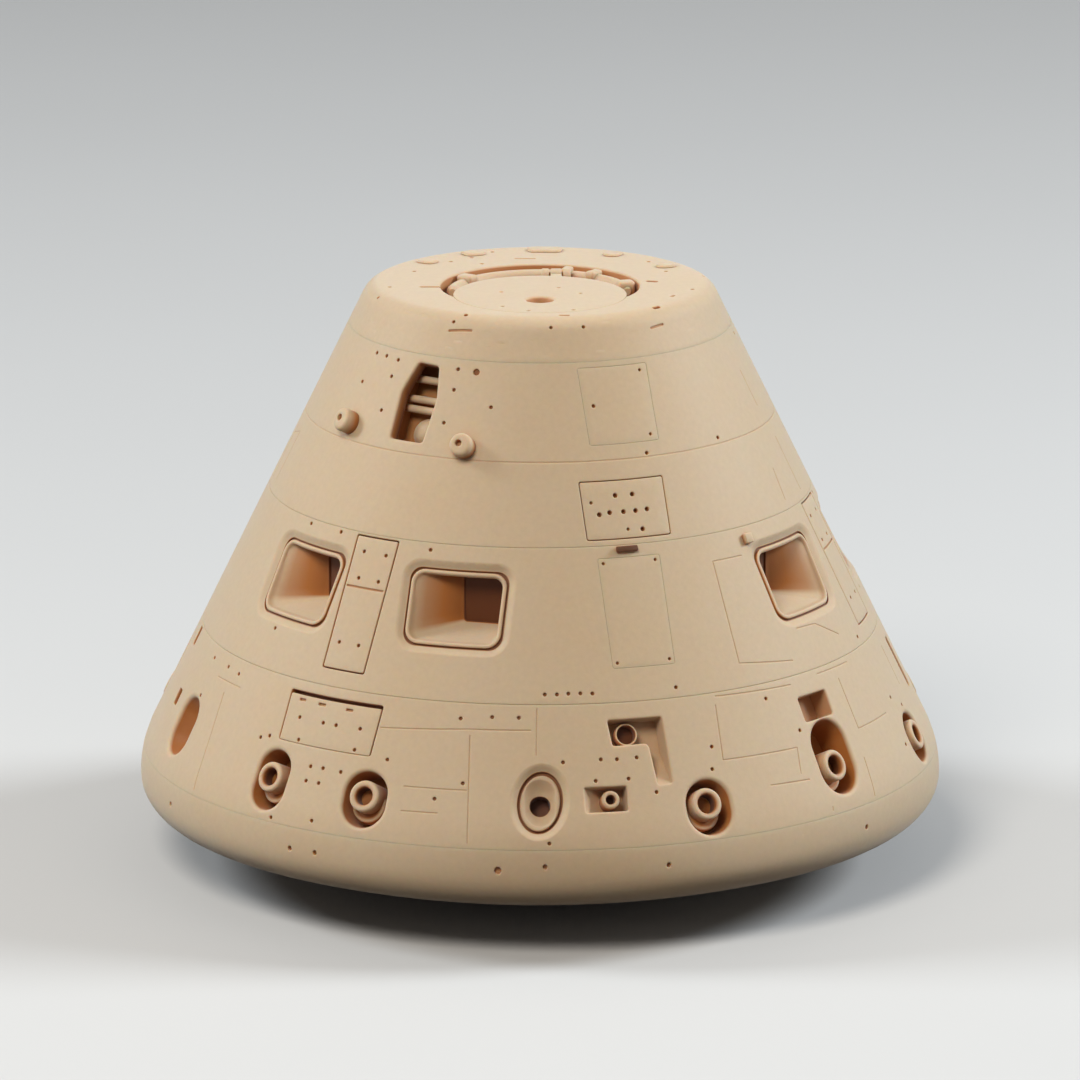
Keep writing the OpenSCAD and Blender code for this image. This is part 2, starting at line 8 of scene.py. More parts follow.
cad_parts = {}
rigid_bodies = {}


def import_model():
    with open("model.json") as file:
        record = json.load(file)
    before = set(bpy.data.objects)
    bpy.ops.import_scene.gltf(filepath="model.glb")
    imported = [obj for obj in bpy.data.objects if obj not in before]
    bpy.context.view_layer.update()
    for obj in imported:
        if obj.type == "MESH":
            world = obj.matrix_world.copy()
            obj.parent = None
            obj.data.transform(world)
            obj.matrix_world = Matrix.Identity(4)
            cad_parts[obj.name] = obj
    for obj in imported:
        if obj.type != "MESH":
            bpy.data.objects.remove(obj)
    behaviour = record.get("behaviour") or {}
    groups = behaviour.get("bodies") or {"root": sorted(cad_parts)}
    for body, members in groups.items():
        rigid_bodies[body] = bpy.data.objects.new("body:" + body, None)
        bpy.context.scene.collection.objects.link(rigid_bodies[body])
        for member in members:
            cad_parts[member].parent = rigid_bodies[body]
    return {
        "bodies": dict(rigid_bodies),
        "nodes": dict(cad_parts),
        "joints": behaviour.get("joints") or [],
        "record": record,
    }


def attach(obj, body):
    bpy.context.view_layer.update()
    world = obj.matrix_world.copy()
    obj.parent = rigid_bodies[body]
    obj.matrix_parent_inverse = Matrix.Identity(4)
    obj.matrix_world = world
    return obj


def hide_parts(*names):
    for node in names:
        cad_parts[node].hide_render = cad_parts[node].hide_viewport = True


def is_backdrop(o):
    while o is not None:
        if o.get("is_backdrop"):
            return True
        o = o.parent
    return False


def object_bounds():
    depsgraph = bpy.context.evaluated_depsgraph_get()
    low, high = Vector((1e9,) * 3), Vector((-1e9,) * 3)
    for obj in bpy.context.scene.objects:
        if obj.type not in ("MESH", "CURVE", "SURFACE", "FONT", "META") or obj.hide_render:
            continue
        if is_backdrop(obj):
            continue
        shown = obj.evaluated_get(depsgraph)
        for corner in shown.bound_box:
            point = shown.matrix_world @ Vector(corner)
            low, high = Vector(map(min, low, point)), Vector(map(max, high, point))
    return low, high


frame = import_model()
cadLow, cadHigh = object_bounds()
mm = 0.001
print("frame loaded:", len(frame["nodes"]), "parts")

# The hull's outline, in mm: s runs along it from the foot's middle to the deck's middle
hull = {
    "radius": 80.0, "widestZ": 17.6, "deckZ": 117.0, "lean": 26.0,
    "shoulderR": 21.4, "rimR": 6.6, "dishR": 220.0, "deckEdgeR": 4.0,
    "wall": 2.4, "shieldWall": 3.0,
}


def buildOutline(h):
    lean = math.radians(h["lean"])
    shoulderX = h["radius"] - h["shoulderR"]
    coneZ = h["widestZ"] + h["shoulderR"] * math.sin(lean)
    coneR = shoulderX + h["shoulderR"] * math.cos(lean)
    rimX = h["radius"] - h["rimR"]
    dishZ = h["widestZ"] + math.sqrt((h["dishR"] - h["rimR"]) ** 2 - rimX ** 2)
    rimStart = -math.atan2(dishZ - h["widestZ"], rimX)
    footStart = -math.asin(dishZ / h["dishR"])
    deckR = coneR - (h["deckZ"] - coneZ) * math.tan(lean)
    setback = h["deckEdgeR"] * math.tan((math.pi / 2 - lean) / 2)
    flatR = deckR - setback
    edgeZ = h["deckZ"] - h["deckEdgeR"]
    stops = []

    def arc(cx, cz, r, start, end, steps):
        for i in range(steps + 1):
            turn = start + (end - start) * i / steps
            stops.append((cx + r * math.cos(turn), cz + r * math.sin(turn), turn))

    stops.append((0.0, 0.0, -math.pi / 2))
    stops.append((h["dishR"] * math.cos(footStart) - 0.01, 0.0, -math.pi / 2))
    arc(0.0, dishZ, h["dishR"], footStart, rimStart, 60)
    arc(rimX, h["widestZ"], h["rimR"], rimStart, 0.0, 60)
    arc(shoulderX, h["widestZ"], h["shoulderR"], 0.0, lean, 60)
    arc(flatR, edgeZ, h["deckEdgeR"], lean, math.pi / 2, 60)
    stops.append((0.0, h["deckZ"], math.pi / 2))
    line = np.array(stops)
    step = np.hypot(np.diff(line[:, 0]), np.diff(line[:, 1]))
    return np.concatenate([[0.0], np.cumsum(step)]), line


hullS, hullLine = buildOutline(hull)
topS = hullS[-1]
risingEnd = len(hullLine) - 2


def hullAt(s):
    r = np.interp(s, hullS, hullLine[:, 0])
    z = np.interp(s, hullS, hullLine[:, 1])
    lean = np.interp(s, hullS, hullLine[:, 2])
    return r, z, lean


def sAt(z):
    return np.interp(z, hullLine[1:risingEnd, 1], hullS[1:risingEnd])


def radiusAt(z):
    return float(hullAt(sAt(z))[0])


def onHull(s, az, depth):
    r, z, lean = hullAt(s)
    out = r - depth * np.cos(lean)
    return np.stack([out * np.sin(az), -out * np.cos(az), z - depth * np.sin(lean)], axis=-1)


# A surface turns flat (x, y) and a depth into a place, and says how a mark's own x and y lie on it
class Surface:
    def __init__(self, place, toLocal=None, toPlane=None, flip=False):
        self.place = place
        self.toLocal = toLocal or (lambda at, p: p - np.array(at))
        self.toPlane = toPlane or (lambda at, q: q + np.array(at))
        self.flip = flip


# How finely the sheets are cut up, in mm, and how steeply a chamfer starts
cutting = {"pace": 0.6, "longest": 2.4, "closest": 0.003, "ringLip": 0.16, "chamferRise": 1.06}


def ringSurface(lowZ, highZ, cutAz, lips):
    s0, midR, cut = sAt(lowZ), radiusAt((lowZ + highZ) / 2), math.radians(cutAz)

    def place(p, depth):
        return onHull(s0 + p[:, 1], p[:, 0] / midR, depth)

    def toLocal(at, p):
        s = s0 + p[:, 1]
        turn = p[:, 0] / midR - math.radians(at[0])
        turn = (turn + math.pi) % (2 * math.pi) - math.pi
        return np.stack([turn * hullAt(s)[0], s - sAt(at[1])], axis=-1)

    def toPlane(at, q):
        s = sAt(at[1]) + q[:, 1]
        start = (math.radians(at[0]) - cut) % (2 * math.pi) + cut
        return np.stack([(start + q[:, 0] / hullAt(s)[0]) * midR, s - s0], axis=-1)

    surface = Surface(place, toLocal, toPlane)
    surface.strip = (cut * midR, (cut + 2 * math.pi) * midR, float(sAt(highZ) - s0))
    surface.lips = lips
    return surface


def capSurface(top):
    def place(p, depth):
        reach = np.hypot(p[:, 0], p[:, 1])
        return onHull(topS - reach if top else reach, np.arctan2(p[:, 0], -p[:, 1]), depth)
    return Surface(place, flip=not top)


def patchSurface(az, z):
    def place(p, depth):
        s = sAt(z) + p[:, 1]
        return onHull(s, math.radians(az) + p[:, 0] / hullAt(s)[0], depth)
    return Surface(place)


def flatSurface(cx, cy, z):
    def place(p, depth):
        return np.stack([p[:, 0] + cx, p[:, 1] + cy, z - depth + 0 * p[:, 0]], axis=-1)
    return Surface(place)


# Marks are what is cut into a surface or stands on it; lengths in mm
def boxMark(at, w, h, corner, depth, lip=0.15, **more):
    return dict(at=at, w=w, h=h, corner=corner, depth=depth, lip=lip, **more)


def pit(at, r, depth=0.7, lip=0.14, **more):
    return boxMark(at, 2 * r, 2 * r, r, depth, lip, **more)


def grooveBetween(az1, z1, az2, z2, width, depth):
    az, z = (az1 + az2) / 2, (z1 + z2) / 2
    dx = math.radians(az2 - az1) * radiusAt(z)
    dy = float(sAt(z2) - sAt(z1))
    long = math.hypot(dx, dy) + width
    # The groove is painted lightly with shade
    return boxMark((az, z), long, width, width / 2 - 0.01, depth, 0.08, turn=math.atan2(dy, dx), tint=0.12)


def shapeMark(at, points, depth, lip=0.3, round=0.5, **more):
    points = np.array(points, float)
    x, y = points.T
    if np.dot(x, np.roll(y, -1)) - np.dot(y, np.roll(x, -1)) < 0:
        points = points[::-1]
    return dict(at=at, points=softCorners(points, round), depth=depth, lip=lip, **more)


def ovalShape(w, h, lean=-0.12, count=56):
    turns = np.linspace(0, 2 * math.pi, count, endpoint=False)
    y = h / 2 * np.sin(turns)
    return np.column_stack([w / 2 * np.cos(turns) + lean * -y * 0.5, y])


def softCorners(points, reach):
    soft = []
    for i, p in enumerate(points):
        before, after = points[i - 1] - p, points[(i + 1) % len(points)] - p
        a = p + before * min(0.45, reach / np.hypot(*before))
        b = p + after * min(0.45, reach / np.hypot(*after))
        for k in range(5):
            u = k / 4
            soft.append((1 - u) ** 2 * a + 2 * u * (1 - u) * p + u * u * b)
    return np.array(soft)


def roundedLoop(w, h, corner, pace):
    corner = max(0.01, min(corner, w / 2 - 1e-4, h / 2 - 1e-4))
    bend = max(3, int(math.ceil(corner * math.pi / 2 / pace)))
    points = []
    for i, (sx, sy) in enumerate([(1, 1), (-1, 1), (-1, -1), (1, -1)]):
        cx, cy = sx * (w / 2 - corner), sy * (h / 2 - corner)
        for j in range(bend + 1):
            turn = math.pi / 2 * (i + j / bend)
            spot = (cx + corner * math.cos(turn), cy + corner * math.sin(turn))
            if not points or math.dist(spot, points[-1]) > cutting["closest"]:
                points.append(spot)
    if math.dist(points[0], points[-1]) < cutting["closest"]:
        points.pop()
    return finerLoop(np.array(points))


def finerLoop(points):
    finer = []
    for i, p in enumerate(points):
        q = points[(i + 1) % len(points)]
        count = max(1, int(math.ceil(np.hypot(*(q - p)) / cutting["longest"])))
        finer += [p + (q - p) * k / count for k in range(count)]
    return np.array(finer)


def offsetShape(points, off):
    before, after = np.roll(points, 1, axis=0), np.roll(points, -1, axis=0)
    d1, d2 = points - before, after - points
    d1 /= np.linalg.norm(d1, axis=1)[:, None]
    d2 /= np.linalg.norm(d2, axis=1)[:, None]
    out1, out2 = np.stack([d1[:, 1], -d1[:, 0]], 1), np.stack([d2[:, 1], -d2[:, 0]], 1)
    middle = out1 + out2
    middle /= np.linalg.norm(middle, axis=1)[:, None]
    return points + middle * (off / np.clip((middle * out1).sum(1), 0.35, 1))[:, None]


def spin(points, turn):
    c, s = math.cos(turn), math.sin(turn)
    return np.stack([points[:, 0] * c - points[:, 1] * s, points[:, 0] * s + points[:, 1] * c], axis=-1)


def traceMark(surface, m, off):
    if "points" in m:
        local = finerLoop(offsetShape(m["points"], off))
    else:
        pace = m.get("pace", cutting["pace"])
        local = roundedLoop(m["w"] + 2 * off, m["h"] + 2 * off, m["corner"] + off, pace)
    return surface.toPlane(m["at"], spin(local, m.get("turn", 0)))


def distanceTo(surface, m, p):
    d = plainDistance(surface, m, p)
    for other in m.get("minus", ()):
        d = np.maximum(d, -plainDistance(surface, other, p))
    return d


def plainDistance(surface, m, p):
    q = spin(surface.toLocal(m["at"], p), -m.get("turn", 0))
    if "points" not in m:
        c = m["corner"]
        a = np.abs(q) - np.array([m["w"] / 2 - c, m["h"] / 2 - c])
        d = np.hypot(np.maximum(a[:, 0], 0), np.maximum(a[:, 1], 0)) + np.minimum(a.max(axis=1), 0) - c
    else:
        best, odd = np.full(len(q), 1e9), np.zeros(len(q), bool)
        for a, b in zip(m["points"], np.roll(m["points"], -1, axis=0)):
            e, v = b - a, q - a
            along = np.clip((v @ e) / (e @ e), 0, 1)
            best = np.minimum(best, np.hypot(*(v - along[:, None] * e).T))
            crosses = (a[1] > q[:, 1]) != (b[1] > q[:, 1])
            rise = e[1] if abs(e[1]) > 1e-12 else 1e-12
            odd ^= crosses & (q[:, 0] < a[0] + (q[:, 1] - a[1]) * e[0] / rise)
        d = np.where(odd, -best, best)
    return np.abs(d) - m["line"] / 2 if "line" in m else d


def wallRun(m):
    run = 0.03 + 0.02 * m["depth"]
    return run if "points" in m else min(run, 0.2 * min(m["w"], m["h"]))


def roundOver(share):
    return 1 - np.sqrt(np.clip(1 - (1 - np.clip(share, 0, 1)) ** 2, 0, 1))


def depthOf(m, t):
    full, lip = m["depth"], m["lip"]
    edge = min(m.get("lipDepth", lip), full * 0.7)
    slope = roundOver(t / lip)
    if m.get("bowl"):
        half = min(m["w"], m["h"]) / 2
        bowl = edge + (full - edge) * np.sin(np.clip(-t / half, 0, 1) * math.pi / 2)
        return np.where(t > 0, edge * slope, bowl)
    wall = edge + (full - edge) * np.clip(-t / wallRun(m), 0, 1)
    if m.get("chamfer"):
        slope = np.minimum(cutting["chamferRise"] * (1 - np.clip(t / lip, 0, 1)), 1)
    return np.where(t > lip, 0, np.where(t > 0, edge * slope, wall))


def levelsOf(m):
    lip = m["lip"]
    levels = [lip + 0.3, lip, 0.6 * lip, 0.3 * lip, 0.1 * lip, 0]
    if "points" not in m and min(m["w"], m["h"]) < 1.6:
        levels = [lip + 0.2, lip, 0.3 * lip, 0]
    if m.get("hole"):
        return levels
    if m.get("bowl"):
        half = min(m["w"], m["h"]) / 2
        return levels + [-half * k for k in (0.08, 0.2, 0.35, 0.5, 0.65, 0.8, 0.93)]
    return levels + [-wallRun(m)]


def grown(m, by):
    more = dict(m, lip=0.05, depth=m["depth"] + by)
    more.pop("bowl", None)
    if "points" in m:
        return dict(more, points=offsetShape(m["points"], by))
    return dict(more, w=m["w"] + 2 * by, h=m["h"] + 2 * by, corner=m["corner"] + by)


def traceAll(surface, m, off):
    sides = [off] if "line" not in m else [off + m["line"] / 2, -off - m["line"] / 2]
    fits = [v for v in sides if "points" in m or min(m["w"], m["h"]) / 2 + v > 0.02]
    loops = [traceMark(surface, m, v) for v in fits]
    return loops + [traceMark(surface, other, -off) for other in m.get("minus", ())]


def triangulate(surface, rim, marks, grid, guides=()):
    points, edges = [], []

    def addLoop(loop, closed=True):
        first = len(points)
        points.extend(loop)
        last = len(loop) if closed else len(loop) - 1
        edges.extend((first + i, first + (i + 1) % len(loop)) for i in range(last))

    for m in marks:
        for off in levelsOf(m):
            for loop in traceAll(surface, m, off):
                addLoop(loop)
    for guide in guides:
        addLoop(traceMark(surface, guide, 0))
    if rim is None:
        a0, a1, top = surface.strip
        lipRows = [0, 0.03, 0.08, cutting["ringLip"]]
        inner = np.linspace(0.5, top - 0.5, max(2, int(top / grid)))
        rows = np.unique(np.concatenate([lipRows, inner, [top - v for v in lipRows]]))
        columns = np.linspace(a0, a1, int((a1 - a0) / grid) + 1)
        for row in rows:
            onEdge = row < 0.3 or row > top - 0.3
            line = [(a, row) for a in columns]
            if onEdge:
                addLoop(line, closed=False)
            else:
                points.extend(line)
        low, high = np.array([a0, 0]), np.array([a1, top])
    else:
        for share in [0, 0.1, 0.3, 0.6, 1]:
            for loop in traceAll(surface, rim, -share * rim["lip"]):
                addLoop(loop)
        ring = traceMark(surface, rim, 0)
        low, high = ring.min(axis=0), ring.max(axis=0)
        xs = np.arange(low[0] + grid / 2, high[0], grid)
        ys = np.arange(low[1] + grid / 2, high[1], grid)
        cells = np.array([(x, y) for x in xs for y in ys]).reshape(-1, 2)
        points.extend(cells[distanceTo(surface, rim, cells) < -rim["lip"] - 0.2])
    made = delaunay_2d_cdt([Vector((float(x), float(y))) for x, y in points], edges, [], 0, 1e-5, False)
    flat = np.array([(v.x, v.y) for v in made[0]])
    faces = np.array([f for f in made[2] if len(f) == 3])
    a, b, c = flat[faces[:, 0]], flat[faces[:, 1]], flat[faces[:, 2]]
    area = (b[:, 0] - a[:, 0]) * (c[:, 1] - a[:, 1]) - (b[:, 1] - a[:, 1]) * (c[:, 0] - a[:, 0])
    faces[area < 0] = faces[area < 0][:, ::-1]
    middle = (a + b + c) / 3
    keep = np.abs(area) > 1e-7
    if rim is None:
        keep &= ((middle > low) & (middle < high)).all(axis=1)
    else:
        keep &= distanceTo(surface, rim, middle) < 0
    for m in marks:
        if m.get("hole"):
            keep &= distanceTo(surface, m, middle) > 0
    faces = faces[keep]
    if rim is None:
        faces = mergeCut(flat, faces, surface.strip)
    used = np.unique(faces)
    number = np.full(len(flat), -1)
    number[used] = np.arange(len(used))
    return flat[used], number[faces]


def mergeCut(flat, faces, strip):
    left = {round(p[1], 4): i for i, p in enumerate(flat) if abs(p[0] - strip[0]) < 1e-4}
    same = np.arange(len(flat))
    for i, p in enumerate(flat):
        if abs(p[0] - strip[1]) < 1e-4 and round(p[1], 4) in left:
            same[i] = left[round(p[1], 4)]
    return same[faces]


# Each vertex's depth and its painted shade amount: the colour is darkened inside pits, grooves and pockets
# and along sheet edges and shell seams, where shade falls
def sculptDepth(surface, rim, marks, flat):
    deep, tint = np.zeros(len(flat)), np.zeros(len(flat))
    for m in marks:
        t = distanceTo(surface, m, flat)
        d = depthOf(m, t)
        if "ramp" in m:
            side, start, full = m["ramp"]
            along = spin(surface.toLocal(m["at"], flat), -m.get("turn", 0))[:, side]
            d = np.minimum(d, m["depth"] * np.clip((along - start) / (full - start), 0.02, 1))
        fullShadeDepth = max(0.06, min(0.4, m["depth"] * 0.6))
        inside = np.clip((0.12 - t) / 0.14, 0, 1) * np.clip(d / fullShadeDepth, 0, 1)
        deep, tint = np.maximum(deep, d), np.maximum(tint, inside * m.get("tint", 0.35))
    if rim is None:
        top = surface.strip[2]
        for fromEdge, lip in [(flat[:, 1], surface.lips[0]), (top - flat[:, 1], surface.lips[1])]:
            edge = lip * roundOver(fromEdge / cutting["ringLip"])
            deep, tint = np.maximum(deep, edge), np.maximum(tint, 1.6 * edge)
    else:
        edge = rim["lip"] * roundOver(-distanceTo(surface, rim, flat) / rim["lip"])
        edgeShade = np.clip(edge / max(rim["lip"], 0.01) - 0.4, 0, 1) * rim.get("tint", 0.5)
        deep, tint = np.maximum(deep, edge), np.maximum(tint, edgeShade)
    return deep, tint


def openEdges(faces):
    sides = {(f[i], f[(i + 1) % 3]): True for f in faces for i in range(3)}
    return [(a, b) for a, b in sides if (b, a) not in sides]


# A sheet of the surface with its marks, its edges and its back: vertices, faces and the painted shade amount
# of each vertex
def sculptSheet(surface, rim, marks, thickness, grid=2.6, backMarks=(), guides=()):
    flat, faces = triangulate(surface, rim, marks, grid, guides)
    depth, tint = sculptDepth(surface, rim, marks, flat)
    border = openEdges(faces)
    ends = sorted({v for e in border for v in e})
    inner = {v: len(flat) + i for i, v in enumerate(ends)}
    holes = [dict(m, lip=0.01) for m in marks if m.get("hole")]
    backRim = dict(rim, lip=0.01) if rim else None
    backFlat, backFaces = triangulate(surface, backRim, holes + list(backMarks), grid * 2, guides)
    backDepth = np.full(len(backFlat), thickness)
    for m in backMarks:
        backDepth = np.maximum(backDepth, depthOf(m, distanceTo(surface, m, backFlat)))
    points = [surface.place(flat, depth), surface.place(flat[ends], np.full(len(ends), thickness)),
              surface.place(backFlat, backDepth)]
    # The sheet's cut edges are painted full shade and its back partly
    tints = [tint, np.ones(len(ends)), np.full(len(backFlat), 0.3)]
    backStart = len(flat) + len(ends)
    allFaces = [tuple(f) for f in faces] + [(b, a, inner[a], inner[b]) for a, b in border]
    allFaces += [tuple(backStart + v for v in f[::-1]) for f in backFaces]
    if surface.flip:
        allFaces = [f[::-1] for f in allFaces]
    return np.concatenate(points), allFaces, np.concatenate(tints)


# A turned part: a profile of (radius, height) spun round its own axis, closed where it meets the axis; each
# row carries a painted shade amount
def turnedPart(profile, tints, place, steps=56):
    points, faces, tint, rows = [], [], [], []
    for (r, h), shade in zip(profile, tints):
        if r < 1e-6:
            rows.append([len(points)])
            points.append((0.0, 0.0, h))
            tint.append(shade)
        else:
            rows.append(list(range(len(points), len(points) + steps)))
            for i in range(steps):
                turn = 2 * math.pi * i / steps
                points.append((r * math.cos(turn), r * math.sin(turn), h))
                tint.append(shade)
    for low, high in zip(rows, rows[1:]):
        for i in range(steps):
            j = (i + 1) % steps
            if len(low) == 1:
                faces.append((low[0], high[j], high[i]))
            elif len(high) == 1:
                faces.append((low[i], low[j], high[0]))
            else:
                faces.append((low[i], low[j], high[j], high[i]))
    return place(np.array(points)), faces, np.array(tint, float)


# Loops with the same number of points, joined in order and closed at both ends; each loop carries a painted
# shade amount
def loftedPart(loops, tints):
    count, last = len(loops[0]), len(loops) - 1
    faces = []
    for k in range(last):
        for i in range(count):
            j = (i + 1) % count
            faces.append((k * count + i, k * count + j, (k + 1) * count + j, (k + 1) * count + i))
    faces += [tuple(range(count))[::-1], tuple(last * count + i for i in range(count))]
    return np.concatenate(loops), faces, np.concatenate([np.zeros(count) + t for t in tints])


def evenLoop(w, h, corner, perCorner=6, perSide=6):
    points = []
    for i, (sx, sy) in enumerate([(1, 1), (-1, 1), (-1, -1), (1, -1)]):
        cx, cy = sx * (w / 2 - corner), sy * (h / 2 - corner)
        for j in range(perCorner + 1):
            turn = math.pi / 2 * (i + j / perCorner)
            points.append((cx + corner * math.cos(turn), cy + corner * math.sin(turn)))
        nx, ny = [(-1, 1), (-1, -1), (1, -1), (1, 1)][i]
        quarter = math.pi / 2 * (i + 1)
        start = np.array(points[-1])
        end = np.array((nx * (w / 2 - corner) + corner * math.cos(quarter),
                        ny * (h / 2 - corner) + corner * math.sin(quarter)))
        for j in range(1, perSide):
            points.append(tuple(start + (end - start) * j / perSide))
    return np.array(points)


# A block with rounded edges: a rounded box outline swept over its height, with painted shade at its foot
def softBlock(place, w, d, low, high, corner=0.3, edge=0.25, tint=0.0, at=(0, 0)):
    loops, tints = [], []
    for inset, h, shade in [(edge, low, 0.6), (0, low + edge, 0.5), (0, high - edge, tint),
                            (edge * 0.3, high - edge * 0.3, 0), (edge, high, 0)]:
        flat = evenLoop(w - 2 * inset, d - 2 * inset, max(0.05, corner - inset), 3, 2) + np.array(at)
        loops.append(place(np.column_stack([flat, np.full(len(flat), h)])))
        tints.append(shade)
    return loftedPart(loops, tints)


# A rod between two places with domed ends
def softRod(place, start, end, r, dome=0.3):
    start, end = np.array(start, float), np.array(end, float)
    along = end - start
    long = np.linalg.norm(along)
    along /= long
    side = np.cross(along, upright if abs(along[2]) < 0.9 else [1.0, 0, 0])
    side /= np.linalg.norm(side)
    other = np.cross(along, side)
    cut = dome * r
    profile = [(0, 0), (r - cut, 0), (r - 0.3 * cut, 0.3 * cut), (r, cut),
               (r, long - cut), (r - 0.3 * cut, long - 0.3 * cut), (r - cut, long), (0, long)]

    def lay(p):
        return place(start + p[:, :1] * side + p[:, 1:2] * other + p[:, 2:] * along)
    return turnedPart(profile, [0] * len(profile), lay, 24)


upright = np.array([0.0, 0.0, 1.0])


def outAndAcross(turn):
    return np.array([math.sin(turn), -math.cos(turn), 0.0]), np.array([math.cos(turn), math.sin(turn), 0.0])


def wallPlace(az, z, shift=(0, 0)):
    lean = math.radians(hull["lean"])
    out, across = outAndAcross(math.radians(az))
    up = math.cos(lean) * upright - math.sin(lean) * out
    face = math.cos(lean) * out + math.sin(lean) * upright
    base = out * radiusAt(z) + z * upright + shift[0] * across + shift[1] * up
    return lambda p: base + p[:, :1] * across + p[:, 1:2] * up + p[:, 2:] * face


def plainPlace(p):
    return p


def addPiece(name, parts, *replaced, body="capsule", material=None, sharp=50):
    points, faces, tints, start = [], [], [], 0
    for p, f, t in parts:
        points.append(p)
        tints.append(t)
        faces += [tuple(int(start + v) for v in face) for face in f]
        start += len(p)
    mesh = bpy.data.meshes.new(name)
    mesh.from_pydata((np.concatenate(points) * mm).tolist(), [], faces)
    mesh.update()
    # This attribute carries each vertex's painted shade amount for the shade group
    tint = mesh.attributes.new("cavityShade", "FLOAT", "POINT")
    tint.data.foreach_set("value", np.concatenate(tints).astype(np.float32))
    mesh.shade_smooth()
    mesh.set_sharp_from_angle(angle=math.radians(sharp))
    piece = bpy.data.objects.new(name, mesh)
    bpy.context.scene.collection.objects.link(piece)
    mesh.materials.append(material or tanPrint)
    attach(piece, body)
    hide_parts(*replaced)


# Materials
def addNode(tree, kind, **values):
    node = tree.nodes.new(kind)
    for key, value in values.items():
        setattr(node, key, value)
    return node


def newGroup(name, inputs, outputs):
    group = bpy.data.node_groups.new(name, "ShaderNodeTree")
    for label, value in inputs.items():
        kind = "NodeSocketColor" if isinstance(value, tuple) else "NodeSocketFloat"
        group.interface.new_socket(label, in_out="INPUT", socket_type=kind).default_value = value
    for label, kind in outputs.items():
        group.interface.new_socket(label, in_out="OUTPUT", socket_type=kind)
    return group, addNode(group, "NodeGroupInput").outputs, addNode(group, "NodeGroupOutput").inputs


# Each value is a number, a colour or the output of another node
def feed(tree, sockets, values):
    for key, value in values.items():
        if hasattr(value, "links"):
            tree.links.new(value, sockets[key])
        else:
            sockets[key].default_value = value


def noiseOf(tree, coords, scale, detail=3.0):
    noise = addNode(tree, "ShaderNodeTexNoise")
    feed(tree, noise.inputs, {"Scale": scale, "Detail": detail, "Vector": coords})
    return noise.outputs["Fac"]


def mixColour(tree, blend, factor, a, b):
    mix = addNode(tree, "ShaderNodeMix", data_type="RGBA", blend_type=blend)
    feed(tree, mix.inputs, {0: factor, 6: a, 7: b})
    return mix.outputs[2]


def mathOf(tree, operation, a, b=0.0, clamp=False):
    node = addNode(tree, "ShaderNodeMath", operation=operation, use_clamp=clamp)
    feed(tree, node.inputs, {0: a, 1: b})
    return node.outputs[0]


# Painted shade: the per-vertex shade amount and an ambient-occlusion node darken grooves, pits, recesses and
# inner corners, first towards an orange corner shade and then towards a dark reddish-brown groove shade
def makeCreviceShadeGroup():
    group, inn, out = newGroup(
        "paintedCreviceShade",
        {"Colour": (0.6, 0.5, 0.4, 1), "Crevice Shade Colour": (0.2, 0.05, 0.02, 1),
         "Corner Shade Colour": (0.5, 0.2, 0.05, 1), "Cut Shade Amount": 0.8, "Corner Shade Amount": 0.6, "Reach": 0.0015},
        {"Colour": "NodeSocketColor"})
    cut = addNode(group, "ShaderNodeAttribute", attribute_name="cavityShade")
    corner = addNode(group, "ShaderNodeAmbientOcclusion", samples=6)
    feed(group, corner.inputs, {"Distance": inn["Reach"]})
    dark = mathOf(group, "POWER", mathOf(group, "SUBTRACT", 1.0, corner.outputs["AO"]), 1.6)
    doubled = mathOf(group, "MULTIPLY", cut.outputs["Fac"], 2.0)
    cornerPart = mathOf(group, "MULTIPLY", dark, inn["Corner Shade Amount"])
    cornerShadePart = mathOf(group, "MAXIMUM", cornerPart, doubled, True)
    cutPart = mathOf(group, "MULTIPLY", mathOf(group, "SUBTRACT", doubled, 1.0, True), inn["Cut Shade Amount"])
    cornerShaded = mixColour(group, "MIX", cornerShadePart, inn["Colour"], inn["Corner Shade Colour"])
    feed(group, out, {"Colour": mixColour(group, "MIX", cutPart, cornerShaded, inn["Crevice Shade Colour"])})
    return group


def makeMottleGroup():
    group, inn, out = newGroup(
        "printMottle",
        {"Colour": (0.6, 0.5, 0.4, 1), "Warm Colour": (0.6, 0.45, 0.3, 1),
         "Cloud Amount": 0.3, "Speck Amount": 0.1},
        {"Colour": "NodeSocketColor"})
    coords = addNode(group, "ShaderNodeTexCoord").outputs["Object"]
    cloud = noiseOf(group, coords, printScale["cloud"], 4.0)
    speck = noiseOf(group, coords, printScale["speck"], 2.0)
    cloudPart = mathOf(group, "MULTIPLY", cloud, inn["Cloud Amount"])
    warm = mixColour(group, "MIX", cloudPart, inn["Colour"], inn["Warm Colour"])
    speckPart = mathOf(group, "MULTIPLY", speck, inn["Speck Amount"])
    feed(group, out, {"Colour": mixColour(group, "OVERLAY", speckPart, warm, (0.78, 0.76, 0.74, 1))})
    return group


